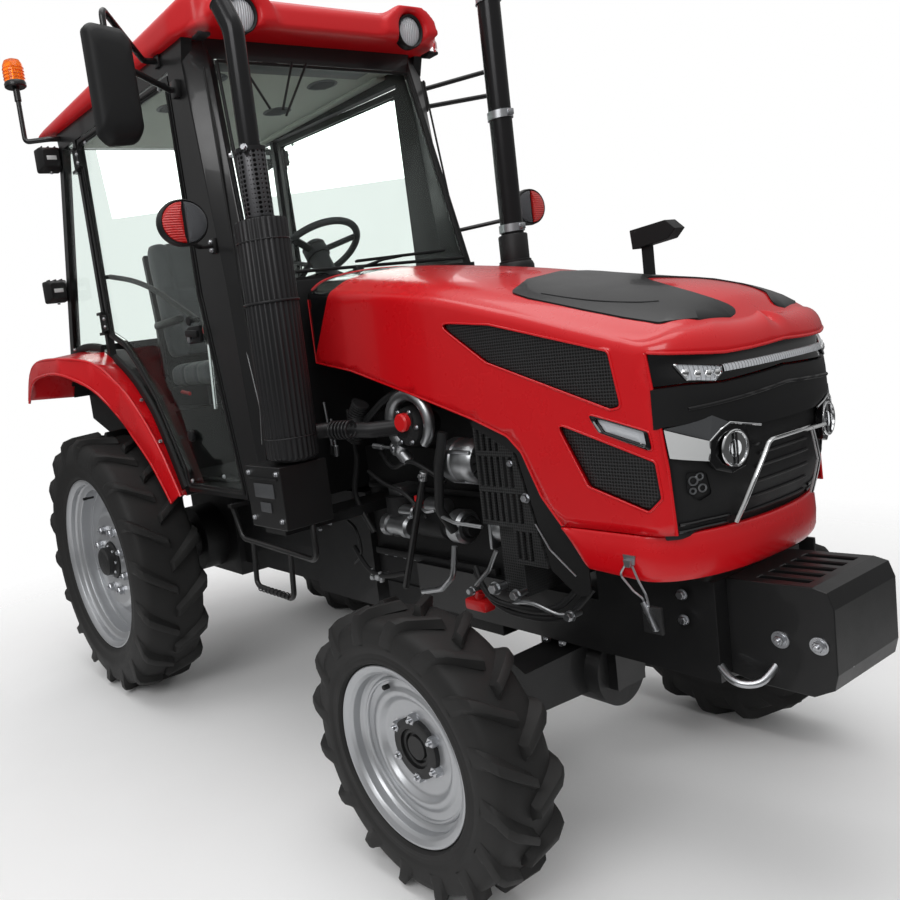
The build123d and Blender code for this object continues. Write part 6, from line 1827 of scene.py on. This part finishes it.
# ---------------------------------------------------------------- chassis
class TRACTOR_OT_chassis(bpy.types.Operator):
    """Build the fasteners, hoses and fittings of the chassis, axles and linkage"""

    bl_idname = "tractor.chassis"
    bl_label = "Chassis"

    def execute(self, context):
        self.bracket()
        self.steering()
        self.linkage()
        self.steps_and_boxes()
        return {"FINISHED"}

    def bracket(self):
        """Bolts and tow hook of the weight bracket."""
        high = node_box("weight_bracket")[1]
        form = Form()
        for side in (-1, 1):
            for x, z in ((2624, 615), (2703, 618)):
                form.lathe([(0, 0), (19, 0), (19, 3), (0, 3)], (x, side * high.y, z), (0, side, 0), 0, sides=28)
                form.bolt((x, side * (high.y + 3), z), (0, side, 0), 20, 9, 0)
                form.bar((x, side * (high.y + 10), z), (x, side * (high.y + 20), z), 6, 0, sides=12)
            for z in (640, 700):
                form.bolt((2440, side * 196, z), (0, side, 0), 18, 10, 0)
        form.pipe([(high.x - 1, -70, 560), (high.x + 0, -70, 560)], 2, 0, sides=6)
        form.pipe(flowing([(2470, -150, 560), (2540, -190, 520), (2590, -170, 520), (2610, -120, 560)], 8), 9, 0,
                  sides=14)
        form.piece("Bracket_bolts", "chassis", "bright_steel", ["Zinc"])

    def steering(self):
        """Bolts of the front axle and caps over the steering pins."""
        form = Form()
        for side in (-1, 1):
            for dx, dz in ((-26, 30), (26, 30), (-26, -30), (26, -30)):
                form.bolt((2007 + dx, side * 150, 450 + dz), (1, 0, 0), 16, 9, 0)
        low, high = node_box("front_axle")
        mid = (low + high) / 2
        form.bar((mid.x + 20, -150, low.z + 120), (mid.x + 20, 150, low.z + 120), 24, 1, sides=24)
        form.piece("Axle_bolts", "chassis", "bright_steel", ["Zinc", "Chassis_black"])
        for side, name in ((-1, "right"), (1, "left")):
            low, high = node_box(f"knuckle_{name}")
            mid = (low + high) / 2
            cap = Form()
            cap.lathe([(0, 0), (34, 0), (34, 8), (22, 14), (0, 15)], (mid.x, side * 470, high.z), (0, 0, 1), 0,
                      sides=28)
            cap.bolt((mid.x, side * 470, high.z + 14), (0, 0, 1), 14, 8, 1)
            cap.piece(f"Kingpin_cap_{name}", f"knuckle_{name}", "castings", ["Cast_iron", "Zinc"])

    def linkage(self):
        """Remote couplings with their hoses, and the bolts at the back of the gearbox."""
        low = node_box("gearbox")[0]
        form = Form()
        for k in range(4):
            y = -75 + k * 50
            form.bar((low.x - 1, y, 760), (low.x - 38, y, 760), 17, 0, sides=20)
            form.hoop((low.x - 30, y, 760), (1, 0, 0), 17, 2.5, 1, sides=24, around=8)
            form.lathe([(0, 0), (20, 0), (20, 4), (12, 8), (0, 9)], (low.x - 38, y, 760), (-1, 0, 0), 2, sides=20)
        for side in (-1, 1):
            form.pipe(flowing([(low.x + 10, side * 60, 800), (low.x - 30, side * 110, 880),
                               (low.x + 40, side * 150, 960),
                               (low.x + 100, side * 160, 980)], 6), 9, 3, sides=12)
            for k in range(5):
                form.bolt((low.x, side * 105, 520 + k * 60), (-1, 0, 0), 14, 8, 0)
        form.piece("Rear_couplings", "chassis", "bright_steel", ["Zinc", "Bright_steel", "Cap_red", "Hose_rubber"])

    def steps_and_boxes(self):
        """Blank label, lid seams and straps of the side boxes, and treads on the steps."""
        form = Form()
        low, high = node_box("side_box")
        for side in (-1, 1):
            face = side * high.y
            form.block(low.x + 18, high.x - 18, *sorted((face - side * 2, face + side * 4)), high.z - 40,
                       high.z - 34, 0, bevel=1)
            form.block(low.x + 44, high.x - 44, *sorted((face, face + side * 3)), high.z - 96, high.z - 52, 1,
                       bevel=1)
            for x in (low.x + 20, high.x - 20):
                form.bolt((x, face, high.z - 20), (0, side, 0), 12, 6, 2)
                form.bolt((x, face, low.z + 60), (0, side, 0), 12, 6, 2)
            for k in range(9):
                x = 1124 + k * 23
                form.hoop((x, side * 555, 595), (1, 0, 0), 10, 2, 0, sides=16, around=6)
        form.block(1360, 1420, -high.y - 4, -high.y, 900, 930, 1, bevel=1)
        form.piece("Box_trim", "chassis", "plastic", ["Matt_black", "Grey_plastic", "Zinc"])


# ---------------------------------------------------------------- inside the cab
def pad_form(name, x0, x1, y0, y1, z0, z1, lean=0.0, corner=46, crown=16):
    """A closed cushion between two heights, set back by the lean as it rises."""
    form = Form()
    plan = rounded([(x0, y0, 0), (x1, y0, 0), (x1, y1, 0), (x0, y1, 0)], corner, steps=6)
    centre = sum(plan, Vector()) / len(plan)
    loops = []
    height = z1 - z0
    for share, inset in ((0, 0.10), (0.06, 0.03), (0.2, 0), (0.8, 0), (0.94, 0.03), (1, 0.10)):
        z = z0 + height * share
        loops.append([Vector((p.x + (centre.x - p.x) * inset - lean * (z - z0), p.y + (centre.y - p.y) * inset, z))
                      for p in plan])
    form.skin(loops)
    bmesh.ops.transform(form.mesh, matrix=TO_ROW, verts=form.mesh.verts[:])
    bmesh.ops.recalc_face_normals(form.mesh, faces=form.mesh.faces[:])
    data = bpy.data.meshes.new(name)
    form.mesh.to_mesh(data)
    form.mesh.free()
    made = bpy.data.objects.new(name, data)
    bpy.context.scene.collection.objects.link(made)
    return made


def inflate(pad, cap):
    """Swells a cushion as cloth with air in it, and keeps each point within the cap of where it was."""
    remesh = pad.modifiers.new("Even", "REMESH")
    remesh.mode, remesh.voxel_size = "VOXEL", 0.011
    freeze(pad)
    start = [v.co.copy() for v in pad.data.vertices]
    cloth = pad.modifiers.new("Cloth", "CLOTH")
    cloth.settings.use_pressure = True
    cloth.settings.uniform_pressure_force = 4
    cloth.settings.effector_weights.gravity = 0
    cloth.settings.quality = 4
    cloth.point_cache.frame_end = 20
    for step in range(1, 21):
        bpy.context.scene.frame_set(step)
    freeze(pad)
    bpy.context.scene.frame_set(1)
    for v, rest in zip(pad.data.vertices, start):
        move = v.co - rest
        if move.length > cap:
            v.co = rest + move.normalized() * cap
    for face in pad.data.polygons:
        face.use_smooth = True
    smooth = pad.modifiers.new("Even out", "SMOOTH")
    smooth.factor, smooth.iterations = 0.5, 3
    freeze(pad)


def press_seams(pad, seams, depth, reach):
    """Sewn channels: each seam is (axis, place in millimetres), pressed in over the reach."""
    for v in pad.data.vertices:
        at = FROM_ROW @ v.co
        press = 0
        for axis, place in seams:
            press = max(press, exp(-((at[axis] - place) / reach) ** 2))
        v.co -= v.normal * (depth * press * 0.001)


class TRACTOR_OT_inside(bpy.types.Operator):
    """Build the seat, the dash and the controls"""

    bl_idname = "tractor.inside"
    bl_label = "Inside"

    def execute(self, context):
        self.seat()
        self.dash()
        self.wheel()
        return {"FINISHED"}

    def seat(self):
        """Two sewn cushions on a frame with arm rests."""
        for name, box, lean, seams in (
                ("Seat_cushion", (-92, 322, -216, 216, 1278, 1366), 0.0, [(1, -130), (1, 130), (0, 60), (0, 190)]),
                ("Seat_back", (-112, -6, -208, 208, 1400, 1945), 0.14, [(1, -125), (1, 125), (2, 1560), (2, 1720)])):
            pad = pad_form(name, *box, lean=lean)
            inflate(pad, 0.010)
            press_seams(pad, seams, 7, 7)
            finer = pad.modifiers.new("Fine", "SUBSURF")
            finer.levels = finer.render_levels = 1
            pad.data.materials.append(bpy.data.materials["Seat_cloth"])
            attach(pad, "chassis")
        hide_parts("seat")
        form = Form()
        form.block(-130, 240, -190, 190, 1180, 1272, 0, bevel=10)
        for k in range(6):
            form.hoop((60, 0, 1188 + k * 15), (0, 0, 1), 168, 6, 1, sides=48, around=8)
        form.slab([(-150, 1310), (-118, 1300), (-192, 1900), (-214, 1890)], "y", -196, 196, 0)
        for side in (-1, 1):
            form.beam((-60, side * 240, 1560), (190, side * 240, 1570), 44, 34, 0, bevel=12)
            form.beam((-80, side * 232, 1330), (-60, side * 236, 1560), 22, 40, 0, bevel=6)
            form.bar((60, side * 226, 1250), (150, side * 232, 1240), 9, 2, sides=12)
        form.piece("Seat_frame", "chassis", "plastic", ["Moulded_plastic", "Rubber", "Cap_red"], bevel=2)

    def dash(self):
        """Gauges, levers, pedals and the ribbed floor mat."""
        form = Form()
        form.lathe([(0, 0), (46, 0), (50, 4), (46, 8), (42, 6), (0, 5)], (1000, -70, 1598), (-0.5, 0, 0.86), 0,
                   sides=36)
        form.lathe([(0, 0), (46, 0), (50, 4), (46, 8), (42, 6), (0, 5)], (1000, 70, 1598), (-0.5, 0, 0.86), 0,
                   sides=36)
        for x, y, z0, z1, finish in ((560, -330, 1180, 1470, 1), (640, -330, 1180, 1430, 2),
                                     (520, 330, 1180, 1450, 1),
                                     (820, -120, 940, 1160, 0)):
            form.bar((x, y, z0), (x + 30, y, z1), 8, 3, sides=12)
            form.lathe([(0, -4), (14, 0), (20, 16), (18, 34), (8, 44), (0, 46)], (x + 30, y, z1), (0.1, 0, 1),
                       finish, sides=24)
        for y in (-170, -90, 130):
            form.beam((1010, y, 1010), (960, y, 1120), 60, 9, 4, bevel=3, up=(1, 0, 0.4))
        form.slab([(300, 912), (1040, 912), (1040, 920), (300, 920)], "y", -420, 420, 5)
        for k in range(24):
            form.beam((330 + k * 30, -400, 922), (330 + k * 30, 400, 922), 8, 4, 5, bevel=1)
        form.piece("Controls", "chassis", "plastic",
                   ["Gloss_black", "Cap_red", "Handle_yellow", "Bright_steel", "Rubber", "Floor_mat"])

    def wheel(self):
        """Ribbed grip and horn cover on the steering wheel."""
        axis = Vector((-160, 0, 260)).normalized()
        side, up = square_to(axis)
        form = Form()
        top = Vector((930, 0, 1700)) + axis * 36
        form.lathe([(0, 0), (44, 0), (46, 8), (38, 18), (20, 24), (0, 25)], top, axis, 0, sides=40)
        form.lathe([(0, 22), (16, 22), (16, 27), (0, 28)], top, axis, 1, sides=24)
        knob = top + axis * -16 + (side * cos(2.4) + up * sin(2.4)) * 168
        form.bar(knob, knob + axis * 20, 7, 1, sides=12)
        form.lathe([(0, 18), (16, 20), (23, 34), (18, 50), (0, 56)], knob, axis, 0, sides=24)
        form.piece("Wheel_cover", "steering_wheel", "plastic", ["Dash_plastic", "Bright_steel"])


# ---------------------------------------------------------------- stage
def aim(obj, eye, target):
    """Places an object at eye, looking at target."""
    eye, target = Vector(eye), Vector(target)
    turn = (target - eye).to_track_quat("-Z", "Y").to_matrix().to_4x4()
    obj.matrix_world = Matrix.Translation(eye) @ turn


class TRACTOR_OT_stage(bpy.types.Operator):
    """Set the floor, the studio light and the camera"""

    bl_idname = "tractor.stage"
    bl_label = "Stage"

    def execute(self, context):
        stage = context.scene.tractor_stage
        self.make_floor()
        self.make_world(stage)
        for name, eye, width, height, power in (
                ("Key_softbox", (3.6, -6.0, 5.6), 4.5, 3.0, stage.key_power),
                ("Top_softbox", (0.4, -0.4, 6.4), 5.5, 4.0, stage.top_power),
                ("Rear_softbox", (-5.5, 3.5, 4.5), 4.0, 3.0, stage.rear_power)):
            data = bpy.data.lights.new(name, "AREA")
            data.shape, data.size, data.size_y, data.energy = "RECTANGLE", width, height, power
            lamp = bpy.data.objects.new(name, data)
            context.scene.collection.objects.link(lamp)
            aim(lamp, eye, (0.2, 0, 1.0))
        self.make_camera(context, stage)
        view = context.scene.view_settings
        view.view_transform = "Standard"
        return {"FINISHED"}

    def make_floor(self):
        """A pale round floor that keeps the shadow and fades into the background."""
        form = Form()
        form.skin([form.ring((0, 0, -0.6), (0, 0, 1), r, 96) for r in (1, 1500, 3000, 6500)], ends=False)
        bmesh.ops.transform(form.mesh, matrix=TO_ROW, verts=form.mesh.verts[:])
        data = bpy.data.meshes.new("Floor")
        form.mesh.to_mesh(data)
        form.mesh.free()
        made = bpy.data.materials.new("Floor_pale")
        made.use_nodes = True
        graph = Graph(made.node_tree)
        place = graph.add("ShaderNodeTexCoord").outputs["Object"]
        away = graph.add("ShaderNodeVectorMath", {0: place}, operation="LENGTH").outputs["Value"]
        noise = graph.add("ShaderNodeTexNoise", {"Vector": place, "Scale": 3.0, "Detail": 3.0}).outputs["Fac"]
        tone = graph.add("ShaderNodeMapRange", {"Value": noise, "To Min": 0.90, "To Max": 0.93}).outputs["Result"]
        colour = graph.add("ShaderNodeCombineColor", {"Red": tone, "Green": tone, "Blue": tone}).outputs["Color"]
        matt = graph.add("ShaderNodeBsdfDiffuse", {"Color": colour}).outputs["BSDF"]
        clear = graph.add("ShaderNodeBsdfTransparent").outputs["BSDF"]
        fade = graph.spread(away, 1.7, 3.6)
        mix = graph.add("ShaderNodeMixShader", {"Fac": fade, 1: matt, 2: clear})
        graph.add("ShaderNodeOutputMaterial", {"Surface": mix.outputs["Shader"]})
        data.materials.append(made)
        floor = bpy.data.objects.new("Floor", data)
        bpy.context.scene.collection.objects.link(floor)

    def make_world(self, stage):
        """White to the camera and through glass, brighter upward to gloss, and a soft fill for the rest."""
        world = bpy.data.worlds.new("Studio")
        bpy.context.scene.world = world
        world.use_nodes = True
        graph = Graph(world.node_tree)
        path = graph.add("ShaderNodeLightPath").outputs
        seen = graph.math("MAXIMUM", path["Is Camera Ray"], path["Is Transmission Ray"])
        up = graph.add("ShaderNodeSeparateXYZ", {"Vector": graph.add("ShaderNodeTexCoord").outputs["Generated"]})
        sky = graph.spread(up.outputs["Z"], -0.1, 0.9, stage.horizon, 0.8)
        shine = graph.math("MULTIPLY", path["Is Glossy Ray"], sky)
        fill = graph.math("MULTIPLY", graph.math("SUBTRACT", 1.0, graph.math("MAXIMUM", seen, path["Is Glossy Ray"])),
                          stage.fill)
        strength = graph.math("ADD", graph.math("ADD", seen, fill),
                              graph.math("MULTIPLY", shine, graph.math("SUBTRACT", 1.0, seen)))
        light = graph.add("ShaderNodeBackground", {"Color": (1, 1, 1, 1), "Strength": strength})
        graph.add("ShaderNodeOutputWorld", {"Surface": light.outputs["Background"]})

    def make_camera(self, context, stage):
        """Camera with a shifted lens, at the height of a standing onlooker."""
        data = bpy.data.cameras.new("Camera")
        data.sensor_width = 36
        data.lens = stage.lens
        data.shift_x, data.shift_y = stage.shift
        data.dof.use_dof = False
        camera = bpy.data.objects.new("Camera", data)
        context.scene.collection.objects.link(camera)
        yaw, pitch, roll = stage.heading
        ahead = Vector((cos(yaw) * cos(pitch), sin(yaw) * cos(pitch), sin(pitch)))
        right = ahead.cross(Vector((0, 0, 1))).normalized()
        up = right.cross(ahead)
        right, up = right * cos(roll) + up * sin(roll), up * cos(roll) - right * sin(roll)
        turn = Matrix((right, up, -ahead)).transposed().to_4x4()
        camera.matrix_world = Matrix.Translation(TO_ROW @ Vector(stage.eye)) @ turn
        context.scene.camera = camera


# ---------------------------------------------------------------- add-on
class TractorFinish(bpy.types.PropertyGroup):
    """Colours of the body."""

    paint: FloatVectorProperty(name="Body paint", description="Colour of the hood, fenders and roof", size=3,
                               subtype="COLOR", min=0, max=1, default=(0.560, 0.0024, 0.0065))


class TractorStage(bpy.types.PropertyGroup):
    """Light and camera."""

    fill: FloatProperty(name="Fill", description="Strength of the world on matt surfaces", default=0.55, min=0)
    horizon: FloatProperty(name="Horizon", description="Strength of the world low down in reflections",
                           default=0.08, min=0)
    key_power: FloatProperty(name="Key", description="Power of the front softbox", unit="POWER", default=210, min=0)
    top_power: FloatProperty(name="Top", description="Power of the overhead softbox", unit="POWER", default=150,
                             min=0)
    rear_power: FloatProperty(name="Rear", description="Power of the rear softbox", unit="POWER", default=60, min=0)
    eye: FloatVectorProperty(name="Eye", description="Camera in millimetres from the rear axle", size=3,
                             default=(3585, -1900, 1377))
    heading: FloatVectorProperty(name="Heading", description="Camera yaw, pitch and roll", size=3, unit="ROTATION",
                                 default=(2.585, -0.126, -0.141))
    lens: FloatProperty(name="Lens", description="Focal length", unit="CAMERA", default=34.05, min=10)
    shift: FloatVectorProperty(name="Shift", description="Camera shift", size=2, default=(0.1778, 0.0078))


class TRACTOR_PT_panel(bpy.types.Panel):
    """Builds the tractor step by step"""

    bl_label = "Farm Tractor"
    bl_space_type = "VIEW_3D"
    bl_region_type = "UI"
    bl_category = "Tractor"

    def draw(self, context):
        """Lists the buttons and the settings."""
        for settings in SETTINGS:
            for name in settings[1].__annotations__:
                self.layout.prop(getattr(context.scene, settings[0]), name)
        for operator in OPERATORS:
            self.layout.operator(operator.bl_idname)


SETTINGS = [("tractor_finish", TractorFinish), ("tractor_stage", TractorStage)]
OPERATORS = [TRACTOR_OT_finishes, TRACTOR_OT_wheels, TRACTOR_OT_hood, TRACTOR_OT_nose, TRACTOR_OT_cab,
             TRACTOR_OT_engine,
             TRACTOR_OT_chassis, TRACTOR_OT_inside, TRACTOR_OT_stage]


def register():
    """Adds the classes and their settings to Blender."""
    for name, settings in SETTINGS:
        bpy.utils.register_class(settings)
        setattr(bpy.types.Scene, name, PointerProperty(type=settings))
    for item in [*OPERATORS, TRACTOR_PT_panel]:
        bpy.utils.register_class(item)


def unregister():
    """Takes them out again."""
    for item in [TRACTOR_PT_panel, *reversed(OPERATORS)]:
        bpy.utils.unregister_class(item)
    for name, settings in reversed(SETTINGS):
        delattr(bpy.types.Scene, name)
        bpy.utils.unregister_class(settings)


def main():
    """Builds the whole tractor."""
    register()
    for operator in OPERATORS:
        getattr(bpy.ops.tractor, operator.bl_idname.split(".")[1])()


if __name__ == "__main__":
    main()
